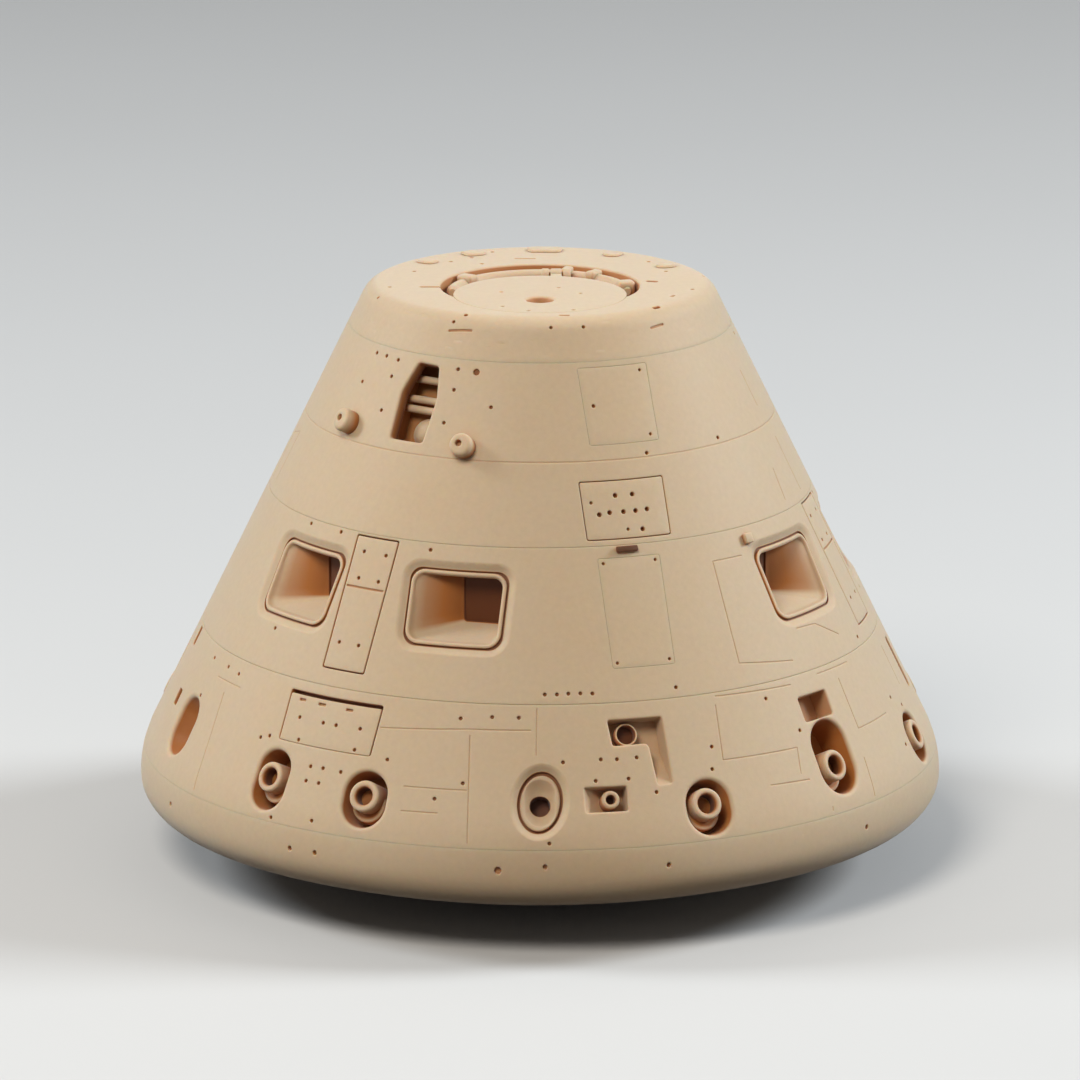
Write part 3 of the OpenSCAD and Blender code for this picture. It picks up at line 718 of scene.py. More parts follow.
def makeGrainGroup():
    group, inn, out = newGroup(
        "printGrain",
        {"Layer Amount": 0.3, "Grain Amount": 0.7, "Layers per Metre": 5000.0},
        {"Height": "NodeSocketFloat", "Roughness": "NodeSocketFloat"})
    coords = addNode(group, "ShaderNodeTexCoord").outputs["Object"]
    split = addNode(group, "ShaderNodeSeparateXYZ")
    feed(group, split.inputs, {0: coords})
    phase = mathOf(group, "MULTIPLY", split.outputs["Z"], inn["Layers per Metre"])
    wave = mathOf(group, "SINE", mathOf(group, "MULTIPLY", phase, 2 * math.pi))
    layers = mathOf(group, "MULTIPLY", wave, inn["Layer Amount"])
    fine = noiseOf(group, coords, printScale["fine"])
    broad = noiseOf(group, coords, printScale["broad"])
    grain = mathOf(group, "MULTIPLY", mathOf(group, "ADD", fine, broad), inn["Grain Amount"])
    rough = mathOf(group, "ADD", mathOf(group, "MULTIPLY", fine, 0.16), 0.5)
    feed(group, out, {"Height": mathOf(group, "ADD", layers, grain), "Roughness": rough})
    return group


printScale = {"cloud": 45.0, "speck": 900.0, "fine": 2600.0, "broad": 160.0}
paintedCreviceShade, printMottle, printGrain = makeCreviceShadeGroup(), makeMottleGroup(), makeGrainGroup()


def srgb(r, g, b):
    linear = [v / 12.92 if v <= 0.04045 else ((v + 0.055) / 1.055) ** 2.4 for v in (r, g, b)]
    return (*linear, 1.0)


def makePrint(name, look):
    material = bpy.data.materials.new(name)
    material.use_nodes = True
    tree = material.node_tree
    mottle, creviceShade, grain = [addNode(tree, "ShaderNodeGroup", node_tree=group)
                              for group in (printMottle, paintedCreviceShade, printGrain)]
    bump = addNode(tree, "ShaderNodeBump")
    feed(tree, mottle.inputs, {
        "Colour": srgb(*look["colour"]), "Warm Colour": srgb(*look["warm"]),
        "Cloud Amount": look["cloud"], "Speck Amount": look["speck"]})
    feed(tree, creviceShade.inputs, {
        "Colour": mottle.outputs["Colour"], "Crevice Shade Colour": srgb(*look["creviceShade"]),
        "Corner Shade Colour": srgb(*look["cornerShadeColour"]), "Cut Shade Amount": look["cut"],
        "Corner Shade Amount": look["corner"], "Reach": look["reach"] * mm})
    feed(tree, grain.inputs, {"Layer Amount": look["layers"], "Grain Amount": look["grain"]})
    feed(tree, bump.inputs, {
        "Strength": look["bump"], "Distance": look["bumpDeep"] * mm, "Height": grain.outputs["Height"]})
    feed(tree, tree.nodes["Principled BSDF"].inputs, {
        "Base Color": creviceShade.outputs["Colour"], "Roughness": grain.outputs["Roughness"],
        "Normal": bump.outputs["Normal"], "Specular IOR Level": look["gloss"],
        "Subsurface Weight": look["subsurface"], "Subsurface Radius": look["scatter"],
        "Subsurface Scale": look["scatterReach"] * mm,
        "Sheen Weight": look["sheen"], "Sheen Roughness": look["sheenRough"]})
    return material


# The groove and corner shade colours with the cut, corner and reach values set the painted shade; colour,
# warm, cloud and speck are the print's own colour and mottle
tanLook = {
    "colour": (0.765, 0.675, 0.56), "warm": (0.76, 0.63, 0.47), "cloud": 0.5, "speck": 0.25,
    "creviceShade": (0.37, 0.18, 0.02), "cornerShadeColour": (0.68, 0.42, 0.19), "cut": 1.0, "corner": 1.0,
    "reach": 2.2, "layers": 0.1, "grain": 0.7, "bump": 0.3, "bumpDeep": 0.06, "gloss": 0.28,
    "subsurface": 0.5, "scatter": (1.0, 0.36, 0.13), "scatterReach": 1.6, "sheen": 0.15, "sheenRough": 0.5,
}
tanPrint = makePrint("tanPrint", tanLook)
# A darker shaded copy of the tan print: painted shade for the recessed equipment bay, used on the hinge pins
# too
shadedPrint = makePrint("shadedPrint", dict(tanLook, colour=(0.64, 0.45, 0.27), warm=(0.55, 0.34, 0.17)))
panePrint = makePrint("panePrint", dict(
    tanLook, colour=(0.36, 0.21, 0.08), warm=(0.28, 0.13, 0.04), creviceShade=(0.2, 0.08, 0.02)))
print("materials made")


# Pits are painted dark with shade
def dots(places, r=0.36, depth=0.45):
    return [pit(p, r, depth, tint=0.8) for p in places]


def grooves(runs, width=0.2, depth=0.1):
    return [grooveBetween(*run, width, depth) for run in runs]


def turnedRound(places, by):
    return [((az + by + 180) % 360 - 180, z) for az, z in places]


def runsRound(runs, by):
    return [(a + by, z1, b + by, z2) for a, z1, b, z2 in runs]


def capSpot(az, reach):
    turn = math.radians(az)
    return (reach * math.sin(turn), -reach * math.cos(turn))


# Heat shield with its stand socket, a ring of eight pits below and a row of pits on the rim
shield = {"seamZ": 23.0, "socketR": 3.1, "socketDepth": 10.0, "socketWall": 2.8, "socketStart": 0.7,
          "pitRing": 52}
shieldS = float(sAt(shield["seamZ"]))
shieldRings = [pit((0, 0), s, 0, pace=3.2) for s in np.arange(float(hullS[61]) - 3, shieldS - 0.6, 1.1)]
shieldMarks = [pit((0, 0), shield["socketR"], 3.0, 0.25, hole=True)]
shieldMarks += [pit(capSpot(az + 12, shield["pitRing"]), 0.8, 0.8) for az in range(0, 360, 45)]
for az, z in [(-37.2, 18.9), (-32.9, 19.0), (-65.4, 19.0), (0.7, 19.9), (18.0, 19.2), (52.8, 18.7),
              (-5.8, 19.1), (88, 19.0), (118, 19.2), (150, 19.0), (-100, 19.1), (-135, 18.9), (-170, 19.2)]:
    shieldMarks.append(pit(capSpot(az, float(sAt(z))), 0.75 if az == -5.8 else 0.5, 0.7))
sheet = sculptSheet(capSurface(False), pit((0, 0), shieldS, 0, 0.06, pace=2.6, tint=0.1), shieldMarks,
                    hull["shieldWall"], grid=5.0, guides=shieldRings)
r, wall, deep, start = [shield[key] for key in ("socketR", "socketWall", "socketDepth", "socketStart")]
socketProfile = [(0, deep), (r, deep), (r, start), (r + wall, start), (r + wall, deep + 1.5), (0, deep + 1.5)]
# The socket's bore is painted dark with shade
socket = turnedPart(socketProfile, [1, 1, 1, 0.5, 0.3, 0.3], plainPlace)
addPiece("heatShieldShell", [sheet, socket], "heat_shield")
print("heat shield made")

# Lower shell: thruster cups, the bent pocket, the slotted panel's seat and its pits
lower = {"low": 23.0, "high": 48.6, "cutAz": -114.5, "cupDepth": 6.4, "pocketDepth": 4.0}
cups = [
    (1, -43.3, 30.4, 8.4, 12.4, 0, 0.5, 3.0, 1.75), (2, -26.3, 30.1, 9.4, 11.4, 0, 0.6, 3.1, 1.75),
    (3, 0, 31.7, 9.4, 14.2, 0, -0.6, 3.6, 2.0), (4, 25.1, 28.9, 9.6, 11.2, -0.6, 0.7, 3.1, 1.9),
    (5, 50, 33, 10.4, 15.4, -1.2, -1.6, 3.1, 1.9), (6, 75.6, 28.9, 9, 10.8, 0, 0.5, 3.1, 1.8)]
cups += [(7 + i, az, 30.1, 9.4, 11.4, 0, 0.6, 3.1, 1.75)
         for i, az in enumerate([102, 127, 154, -154, -127, -102])]
elbowAt = (15.3, 40.0)
elbow = [(-5.4, 6.2), (5.4, 6.2), (6.1, -6.8), (3.2, -7.0), (2.3, 0.6), (1.7, 1.3), (-4.9, 1.2)]
vernierAt, notchAt, scoopAt = (9.7, 31.8), (49.8, 42.4), (-70, 33)
lowerLeftDots = [
    (-69.6, 46.3), (-63.3, 46.3), (-59.3, 46.0), (-68.6, 39.3), (-48.1, 37.0), (-46.3, 37.7), (-42.5, 42.2),
    (-36.6, 42.1), (-34.0, 42.1), (-28.3, 42.2), (-28.3, 37.6), (-23.8, 37.5), (-36.6, 34.2), (-34.3, 34.3),
    (-31.1, 34.2), (-36.7, 31.6), (-34.4, 31.6), (-34.0, 24.9), (-41.2, 23.9)]
lowerMidDots = [
    (-12.8, 45.8), (-7.7, 46.3), (-3.4, 46.3), (3.5, 38.5), (9.3, 38.8), (11.8, 38.7), (14.9, 38.8),
    (13.3, 35.2), (8.3, 35.1), (17.3, 32.5), (-11.5, 34.5), (-15.5, 31.5), (1.3, 24.3)]
lowerRightDots = [
    (27.4, 39.3), (26.7, 35.4), (39.6, 45.9), (44.5, 39.1), (70.2, 29.2), (72.5, 37.7), (76.0, 35.1)]
lowerRuns = [
    (-65.1, 43.9, -57.4, 43.9), (-61.3, 41.9, -60.1, 34), (-60.1, 34, -59, 24.2), (-26, 42.9, -11.4, 44),
    (-11.4, 44, -1.5, 44.1), (-11, 42.9, -10.1, 24.2), (-20.2, 28.9, -14.9, 29), (-0.5, 47.9, -0.6, 39.8),
    (-20.4, 33.2, -10.9, 33.3), (29.6, 46.4, 28.8, 36.7), (28.8, 36.7, 42.8, 36.3), (42.8, 36.3, 42, 31.8),
    (36, 30.9, 43.2, 30.4), (46.1, 24.6, 46, 24), (56.5, 31, 55.8, 24), (30, 47.9, 45.6, 47.2),
    (52.8, 47.6, 62.3, 47.5)]
limbRuns = [(58, 45.5, 58, 36), (58, 36, 68, 36), (80, 45.5, 80, 38)]
hiddenDots = [p for p in lowerLeftDots + lowerMidDots + lowerRightDots if p[1] > 36.8 or p[1] < 24.5]
hiddenRuns = [r for r in lowerRuns if min(r[1], r[3]) > 38]
plainDots = [d for d in lowerLeftDots if not (-46 < d[0] < -25 and 36.9 < d[1] < 46.9)]
lowerMarks = (dots(plainDots + lowerMidDots + lowerRightDots) + dots(turnedRound(hiddenDots, 180))
              + grooves(lowerRuns + limbRuns + runsRound(hiddenRuns, 180)))
for number, az, z, w, h, ox, oy, rOut, rIn in cups:
    if number == 3:
        lowerMarks.append(shapeMark((az, z - 0.1), ovalShape(8.8, 12.1), 1.6, lip=1.3, round=0.01,
                                    lipDepth=0.95, chamfer=True, tint=0.85))
        lowerMarks.append(shapeMark((az, z - 0.1), ovalShape(6.6, 9.8), 2.2, lip=0.05, round=0.01, hole=True))
    else:
        w, h = w - 0.4, h - 0.4
        lowerMarks.append(boxMark((az, z), w, h, w / 2, lower["cupDepth"], lip=0.75, tint=0.6))
lowerMarks += [
    boxMark(scoopAt, 8.6, 12.0, 4.3, 5.0, lip=0.9, bowl=True, tint=0.6),
    boxMark(vernierAt, 8.2, 4.8, 0.3, lower["pocketDepth"], lip=0.35, ramp=(0, -4.3, -0.6), tint=0.12),
    boxMark(notchAt, 8.4, 5.0, 0.5, lower["pocketDepth"], lip=0.4),
    shapeMark(elbowAt, elbow, lower["pocketDepth"], lip=0.35, ramp=(1, -7.2, -0.5), tint=0.12),
    boxMark((-35.5, 42.2), 22.2, 10.1, 0.5, 1.5, lip=0.25, tint=0.9),
    boxMark((-84.5, 46.2), 2.4, 4.0, 0.4, 1.2, lip=0.2, tint=0.8),
    boxMark((-78.0, 36.0), 2.4, 3.4, 0.4, 1.2, lip=0.2, tint=0.8),
    boxMark((87.5, 40), 3.2, 11, 0.8, 1.3, lip=0.3), boxMark((-92.5, 40), 3.2, 9, 0.8, 1.3, lip=0.3),
]
lowerBacks = [grown(m, 1.4) for m in lowerMarks if m["depth"] > 1.6]
surface = ringSurface(lower["low"], lower["high"], lower["cutAz"], (0.04, 0.11))
addPiece("lowerShellSkin", [sculptSheet(surface, None, lowerMarks, hull["wall"], backMarks=lowerBacks)],
         "lower_shell")
print("lower shell made")

# Thrusters: a thick ring with a rounded lip and a deep bore, and a wider ledge low in the cup; the bore, the
# cup's floor and the ledge's foot are painted dark with shade
thruster = {"proud": 0.5, "floor": 1.4, "ledgeDrop": 1.2, "ledgeHigh": -2.4, "ledgeMore": 0.4, "lip": 0.55,
            "boreLip": 0.5}
ovalNozzle = {"w": 7.7, "h": 10.9, "down": 0.9, "up": -0.2, "bowlW": 5.8, "bowlH": 9.0, "bowlDeep": 1.5}


def facePart(place, high, outline, marks, thickness, grid=1.2):
    surface = Surface(lambda p, depth: place(np.column_stack([p, high - depth])))
    return sculptSheet(surface, outline, marks, thickness, grid)


def thrusterParts(rOut, rIn, place, depth):
    top, soft, floor = thruster["proud"], thruster["lip"], -depth + thruster["floor"]
    profile, tints = [(0, -depth), (rOut, -depth), (rOut, -2.6), (rOut, top - soft)], [0.8, 0.8, 0.5, 0.0]
    bends = [math.pi / 2 * k / 6 for k in range(1, 7)]
    profile += [(rOut - soft * (1 - math.cos(turn)), top - soft * (1 - math.sin(turn))) for turn in bends]
    soft = thruster["boreLip"]
    profile += [(rIn + soft * (1 - math.sin(turn)), top - soft * (1 - math.cos(turn))) for turn in bends]
    profile += [(rIn, top - 1.4), (rIn * 0.94, floor), (0, floor)]
    tints += [0.0] * 6 + [0.1 * k for k in range(1, 7)] + [1, 1, 1]
    high, drop, r = thruster["ledgeHigh"], thruster["ledgeDrop"], rOut + thruster["ledgeMore"]
    ledge = [(0, -depth), (r, -depth), (r, high - 0.4), (r - 0.12, high - 0.12), (r - 0.4, high),
             (rOut - 0.6, high), (0, high)]
    ledgeShadeAmounts = [0.7, 0.7, 0.2, 0.0, 0.1, 0.6, 0.8]
    return [turnedPart(profile, tints, place),
            turnedPart(ledge, ledgeShadeAmounts, lambda p: place(p + np.array([0, -drop, 0])))]


for number, az, z, w, h, ox, oy, rOut, rIn in cups:
    if number == 3:
        spot = (0, ovalNozzle["up"])
        shape = ovalShape(ovalNozzle["w"], ovalNozzle["h"])
        outline = shapeMark(spot, shape, 0, lip=0.35, round=0.01, tint=0.3)
        bowl = boxMark(spot, ovalNozzle["bowlW"], ovalNozzle["bowlH"], ovalNozzle["bowlW"] / 2,
                       ovalNozzle["bowlDeep"], lip=0.5, lipDepth=0.15, bowl=True, tint=0.1)
        marks = [bowl, pit((ox, oy), rIn, 4.4, 0.4, tint=1.0)]
        parts = [facePart(wallPlace(az, z), -ovalNozzle["down"], outline, marks,
                          lower["cupDepth"] - ovalNozzle["down"])]
    else:
        parts = thrusterParts(rOut, rIn, wallPlace(az, z, (ox, oy)), lower["cupDepth"])
    addPiece("thrusterNozzle%d" % number, parts, "thruster_%d" % number)


# A small tube whose bore and foot are painted dark with shade
def smallTube(place, rOut, rIn, low, high, floor):
    lip = (rOut - rIn) * 0.45
    profile = [(0, low), (rOut, low), (rOut, high - lip), (rOut - 0.3 * lip, high - 0.3 * lip),
               (rOut - lip, high), (rIn + lip * 0.8, high), (rIn + 0.2 * lip, high - 0.25 * lip),
               (rIn, high - lip), (rIn, floor), (0, floor)]
    return turnedPart(profile, [1, 1, 0.3, 0, 0, 0, 0.2, 0.7, 1, 1], place, 40)


addPiece("vernierRing", [smallTube(wallPlace(*vernierAt, (0.9, 0)), 1.8, 0.9, -4.0, -0.4, -3.0)],
         "vernier_nozzle")
addPiece("ventTube", [smallTube(wallPlace(*elbowAt, (-1.6, 3.5)), 2.2, 1.85, -4.0, -1.6, -3.8)],
         "vent_pipe")
print("thrusters made")

# Middle shell: window holes, strap seats, the crew hatch's hole and its hinge ears
middle = {"low": 48.6, "high": 76.2, "cutAz": -114.5, "windowZ": 65.0, "windowW": 17.4, "windowH": 12.6,
          "frame": 1.1, "slit": 0.3, "overlap": 0.25, "corner": 1.8}
windows = [
    ("windowLeftOuter", "window_left_outer", -52.4, 1),
    ("windowLeftInner", "window_left_inner", -16.2, 1),
    ("windowRightInner", "window_right_inner", 58.2, -1),
    ("windowRightOuter", "window_right_outer", 94.4, -1),
]
hatch = {"az": 180.0, "z": 62.4, "w": 21.0, "h": 22.0, "corner": 4.0, "gap": 0.4, "hingeX": -10.8,
         "hingeOut": -0.5, "knuckleR": 1.5, "knuckle": 8.0, "ear": 3.6, "earGap": 0.3}
flushPanels = [
    ("windowStrapLeft", "window_strap_left", -35.5, 63.7, 9.6, 26.4, 0.22),
    ("windowStrapRight", "window_strap_right", 77.5, 63.7, 9.6, 26.4, 0.22),
    ("accessPanelMiddle", "access_panel_middle", 18.2, 64.3, 12.6, 21.6, 0.02),
    ("accessPanelUpper", "access_panel_upper", 21.5, 101.0, 14.4, 15.4, 0.02),
    ("fastenerPanel", "fastener_panel", 19.1, 82.5, 17.0, 11.4, 0.15),
    ("slotPanel", "slot_panel", -35.5, 41.9, 21.8, 9.4, 0.2),
]


# A panel's seat is painted dark with shade in the gap round it
def panelSeats(low, high):
    return [boxMark((az, z), w + 2 * gap, h + 2 * gap, 0.4, 1.3, lip=0.05 + gap * 0.8, tint=0.9)
            for name, node, az, z, w, h, gap in flushPanels if low < z < high]


middleDots = [(-45.5, 75.4), (-22.8, 74.9), (-54.2, 55.9), (-55.4, 75.3), (23.2, 50.4), (70.3, 50.2),
              (0.8, 50.4), (2.8, 50.4), (4.7, 50.5), (6.7, 50.5), (8.7, 50.4)]
middleRuns = [(36.5, 71.3, 36.2, 52.9), (36.2, 52.9, 48, 51.2), (52, 56.3, 57.5, 56.0),
              (57.5, 56.0, 63.6, 52.5), (36.5, 71.3, 44, 71.3)]
earCentre = hatch["knuckle"] / 2 + hatch["earGap"] + hatch["ear"] / 2
hatchAt = (hatch["az"], hatch["z"])
hatchPlace = wallPlace(*hatchAt)
middleMarks = dots(middleDots) + dots(turnedRound(middleDots, 140)) + grooves(middleRuns)
middleMarks += grooves(runsRound(middleRuns, 90)) + grooves(runsRound(middleRuns, -170))
middleMarks += panelSeats(middle["low"], middle["high"])
for name, node, az, side in windows:
    for more, depth, lip, lipDepth, hole in [(middle["slit"], 1.12, 1.4, 0.85, False),
                                             (-middle["overlap"], 2.4, 0.05, 0.05, True)]:
        more = 2 * (middle["frame"] + more)
        w, h = middle["windowW"] + more, middle["windowH"] + more
        middleMarks.append(boxMark((az, middle["windowZ"]), w, h, 2.6, depth, lip, lipDepth=lipDepth,
                                   hole=hole, chamfer=not hole, tint=0.9))
slotReach = hatch["knuckleR"] + hatch["gap"]
slotAz = hatch["az"] + math.degrees(hatch["hingeX"] / radiusAt(hatch["z"]))
slotLong = hatch["knuckle"] + 2 * hatch["earGap"] + 2 * hatch["ear"]
middleMarks += [
    boxMark(hatchAt, hatch["w"], hatch["h"], hatch["corner"], hull["wall"], lip=0.5, hole=True),
    boxMark((slotAz, hatch["z"]), 2 * slotReach, slotLong, 0.4, hull["wall"], lip=0.3, hole=True)]


def hatchBarrel(low, high):
    return softRod(hatchPlace, (hatch["hingeX"], low, hatch["hingeOut"]),
                   (hatch["hingeX"], high, hatch["hingeOut"]), hatch["knuckleR"])


ears = [hatchBarrel(s * (earCentre - hatch["ear"] / 2), s * (earCentre + hatch["ear"] / 2)) for s in (-1, 1)]
surface = ringSurface(middle["low"], middle["high"], middle["cutAz"], (0.11, 0.08))
addPiece("middleShellSkin", [sculptSheet(surface, None, middleMarks, hull["wall"])] + ears, "middle_shell")
print("middle shell made")

# Windows: a flat frame flush with the wall, a rounded mouth and a funnel that runs back to an upright pane;
# the funnel and pane carry painted shade, darker deeper in and on the top and sides, pale on the sill at the
# bottom where light falls
# shade and deepShade are the funnel walls' painted shade amounts, sill the small amount on the lit sill
pane = {"radius": 52.0, "w": 9.0, "h": 9.9, "corner": 0.7, "wall": 1.6, "inset": 0.2, "insetDepth": 0.4,
        "sink": 0.5, "shade": 0.27, "deepShade": 0.42, "sill": 0.04, "steps": 12}


def windowPart(az, side):
    surface = patchSurface(az, middle["windowZ"])
    w, h, frame, corner = middle["windowW"], middle["windowH"], middle["frame"], middle["corner"]
    out, across = outAndAcross(math.radians(az))

    def ring(grow, depth):
        flat = evenLoop(w + 2 * grow, h + 2 * grow, corner + grow)
        return surface.place(flat, np.full(len(flat), depth))

    def paneRing(inset, back):
        flat = evenLoop(pane["w"] - 2 * inset, pane["h"] - 2 * inset, pane["corner"])
        topZ = middle["windowZ"] + h / 2 * math.cos(math.radians(hull["lean"]))
        centre = out * (pane["radius"] - back) + across * side * (w - pane["w"]) / 2
        centre = centre + np.array([0, 0, topZ - pane["h"] / 2 - 0.3])
        return centre + flat[:, :1] * across + flat[:, 1:2] * upright

    sink = pane["sink"]
    outer = ring(frame, sink + 0.3)
    back = outer - out * ((outer @ out) - (pane["radius"] - pane["wall"]))[:, None]
    loops = [back, ring(frame, sink + 1.6), outer, ring(frame - 0.1, sink + 0.09), ring(frame - 0.3, sink)]
    loops += [ring(0.62, sink), ring(0.42, sink + 0.07), ring(0.28, sink + 0.25), ring(0.18, sink + 0.6)]
    # Painted shade on the frame's back and outer sides, little on its face and mouth
    tints = [1, 1, 0.6, 0.1, 0, 0, 0, 0.05, 0.15]
    mouth, end = loops[-1], paneRing(0, 0)
    # Painted shade in the funnel: darker deeper in and on the top and sides, almost none on the sill at the
    # bottom where light falls
    onSill = np.clip((-0.34 - evenLoop(w, h, corner)[:, 1] / h) / 0.12, 0, 1)
    for k in range(1, pane["steps"] + 1):
        share = k / pane["steps"]
        loops.append(mouth + (end - mouth) * k / pane["steps"])
        wall = pane["shade"] + pane["deepShade"] * share ** 1.2
        tints.append(wall * min(1, 0.3 + 0.25 * k) * (1 - onSill) + pane["sill"] * onSill * share)
    # The pane end is painted near full shade
    loops += [paneRing(pane["inset"], 0.05), paneRing(pane["inset"] + 0.08, pane["insetDepth"])]
    return loftedPart(loops, tints + [0.95, 1.0])


for name, node, az, side in windows:
    addPiece(name, [windowPart(az, side)], node, sharp=40)
print("windows made")

# Upper shell: the bay's opening, the panels' seats and its pits
upper = {"low": 76.2, "high": 109.0, "cutAz": -114.5}
bayAt = (-35.0, 100.5)
bayOutline = [(-1.7, 7.8), (3.0, 7.6), (4.3, 1.2), (3.7, -7.8), (-4.0, -7.8), (-4.1, 1.6), (-2.6, 5.6)]
upperDots = [
    (-55.6, 107.4), (-50.8, 107.4), (-45.5, 107.2), (-46.0, 104.1), (-57.2, 101.8), (-45.6, 97.9),
    (-24.2, 107.2), (-24.3, 103.5), (-13.1, 100.9), (-25.4, 97.5), (49.0, 92.4), (26.6, 92.0), (83.6, 107.4)]
upperRuns = [
    (-81.1, 88.2, -88.2, 86.7), (-88.2, 86.7, -90.8, 78.2), (-81.1, 88.2, -81.9, 78.6),
    (72.3, 101.8, 72.9, 94.9), (75.5, 88.2, 75.8, 77.9), (65.9, 83.9, 65.3, 78)]
upperMarks = dots(upperDots) + dots([(-18.5, 107.0)], 0.65) + dots(turnedRound(upperDots, 165))
upperMarks += grooves(upperRuns) + grooves(runsRound(upperRuns, 197)) + grooves(runsRound(upperRuns, -170))
upperMarks += panelSeats(upper["low"], upper["high"])
upperMarks.append(shapeMark(bayAt, bayOutline, hull["wall"], lip=0.45, round=0.7, hole=True))
upperMarks += grooves([(az - 11.9, 91.3, az + 11.9, 91.3) for az in range(-168, 180, 24)], 0.24, 0.07)
surface = ringSurface(upper["low"], upper["high"], upper["cutAz"], (0.08, 0.03))
addPiece("upperShellSkin", [sculptSheet(surface, None, upperMarks, hull["wall"])], "upper_shell")
print("upper shell made")

# Flush panels: what is cut into each, from its own middle
strapDots = [(-2.35, 10.3), (2.9, 10.2), (-2.0, 5.0), (2.75, 4.9), (-2.5, -8.0), (2.15, -8.0)]
fastenerDots = [(-1.8, 2.8), (1.7, 2.8), (-5.5, -0.8), (-3.4, -0.5), (-0.6, -0.5), (1.9, -0.5), (4.3, -0.4),
                (2.8, -4.2)]
slotDots = [(-7.2, 0.3), (-1.2, 0.2), (1.9, 0.2), (-6.0, -4.0), (7.4, 0.3), (7.4, -3.9)]
strapJoint = boxMark((0, 3.2), 8.8, 0.34, 0.16, 0.3)
panelMarks = {
    "windowStrapLeft": dots(strapDots) + [strapJoint],
    "windowStrapRight": dots([(-x, y) for x, y in strapDots]) + [strapJoint],
    "accessPanelMiddle": dots([(-5.3, 9.8), (5.3, 9.8), (-5.3, -9.8), (5.3, -9.8)], 0.3, 0.4),
    "accessPanelUpper": dots([(-5.2, 0.1)]) + dots([(5.6, 6.4), (5.6, -6.4)], 0.3, 0.4),
    "fastenerPanel": dots(fastenerDots, 0.46, 0.8) + dots([(-0.2, -4.0), (-6.8, 1.6)], 0.3, 0.4),
    "slotPanel": dots(slotDots) + [boxMark((x, y), w, 0.5, 0.2, 0.5)
                                   for x, y, w in [(-7.6, 3.75, 1.6), (-2.6, 3.65, 1.8), (4.0, 3.55, 1.6)]],
}
for name, node, az, z, w, h, gap in flushPanels:
    # The panel's edge is painted darker with shade, more where its gap is wider
    outline = boxMark((0, 0), w, h, 0.35, 0, lip=0.06 + gap * 0.8, tint=0.08 + gap)
    addPiece(name, [sculptSheet(patchSurface(az, z), outline, panelMarks[name], 1.2)], node)

# Crew hatch with its round porthole, knuckle and handle
notchLong = hatch["ear"] + 2 * hatch["gap"]
earNotches = [boxMark((hatch["hingeX"], s * earCentre), 2 * slotReach, notchLong, 0.3, 0) for s in (-1, 1)]
hatchOutline = boxMark((0, 0), hatch["w"] - 2 * hatch["gap"], hatch["h"] - 2 * hatch["gap"],
                       hatch["corner"] - hatch["gap"], 0, lip=0.45, minus=earNotches)
hatchDots = [(x, y) for x in (-6.2, -2, 2.6, 7.2) for y in (-9.6, 9.6)] + [(9.2, y) for y in (-5, 0, 5)]
hatchMarks = [pit((0, 3), 3.4, 1.4, 0.5), boxMark((0, 3), 9.4, 9.4, 4.7, 0.3, line=0.36),
              boxMark((0.6, 0), 15.6, 17.2, 2.6, 0.3, line=0.36)] + dots(hatchDots, 0.36, 0.5)
hatchSheet = sculptSheet(patchSurface(*hatchAt), hatchOutline, hatchMarks, hull["wall"], 2.0)
knuckle = hatchBarrel(-hatch["knuckle"] / 2, hatch["knuckle"] / 2)
arm = softBlock(hatchPlace, 3.4, hatch["knuckle"], -1.8, -0.3, at=(hatch["hingeX"] + 1.7, 0))
addPiece("crewHatchPanel", [hatchSheet, knuckle, arm], "crew_hatch", body="crew_door")
handle = {"x": 5.6, "y": -4.0, "long": 6.0, "r": 0.8, "down": -1.6, "up": 1.6}
x, high, r = handle["x"], handle["up"], handle["r"]
y1, y2 = [handle["y"] + s * handle["long"] / 2 for s in (-1, 1)]
bar = [softRod(hatchPlace, (x, y, handle["down"]), (x, y, high), r) for y in (y1, y2)]
bar.append(softRod(hatchPlace, (x, y1 - r, high), (x, y2 + r, high), r, dome=0.9))
addPiece("crewHatchHandle", bar, "crew_hatch_handle", body="crew_door")
print("panels and crew hatch made")

# Things that stand on the wall
knobShape = {"r": 2.3, "proud": 2.9, "seat": 0.8, "soft": 0.7, "holeR": 0.65}
for name, node, az, z in [("sensorKnobLeft", "sensor_knob_left", -55, 94.3),
                          ("sensorKnobRight", "sensor_knob_right", -18.8, 93.5)]:
    outline = pit((0, 0), knobShape["r"], 0, knobShape["soft"], tint=0)
    marks = [pit((-0.4, 0.2), knobShape["holeR"], 1.2, 0.2)]
    thickness = knobShape["proud"] + knobShape["seat"]
    addPiece(name, [facePart(wallPlace(az, z), knobShape["proud"], outline, marks, thickness, 0.8)], node)
addPiece("panelLens", [softBlock(wallPlace(17.9, 75.4), 4.4, 1.2, -0.1, 0.75)], "panel_lens",
         material=panePrint)
addPiece("umbilicalStub", [softBlock(wallPlace(46.8, 73.9), 2, 2, -0.1, 1.05)], "umbilical_stub")
strap = {"reach": 5.3, "depth": -4.6, "r": 0.75, "heights": (5.4, 1.4, -0.6)}
addPiece("bayStraps", [softRod(wallPlace(*bayAt), (-strap["reach"], up, strap["depth"]),
                               (strap["reach"], up, strap["depth"]), strap["r"]) for up in strap["heights"]],
         "bay_straps")

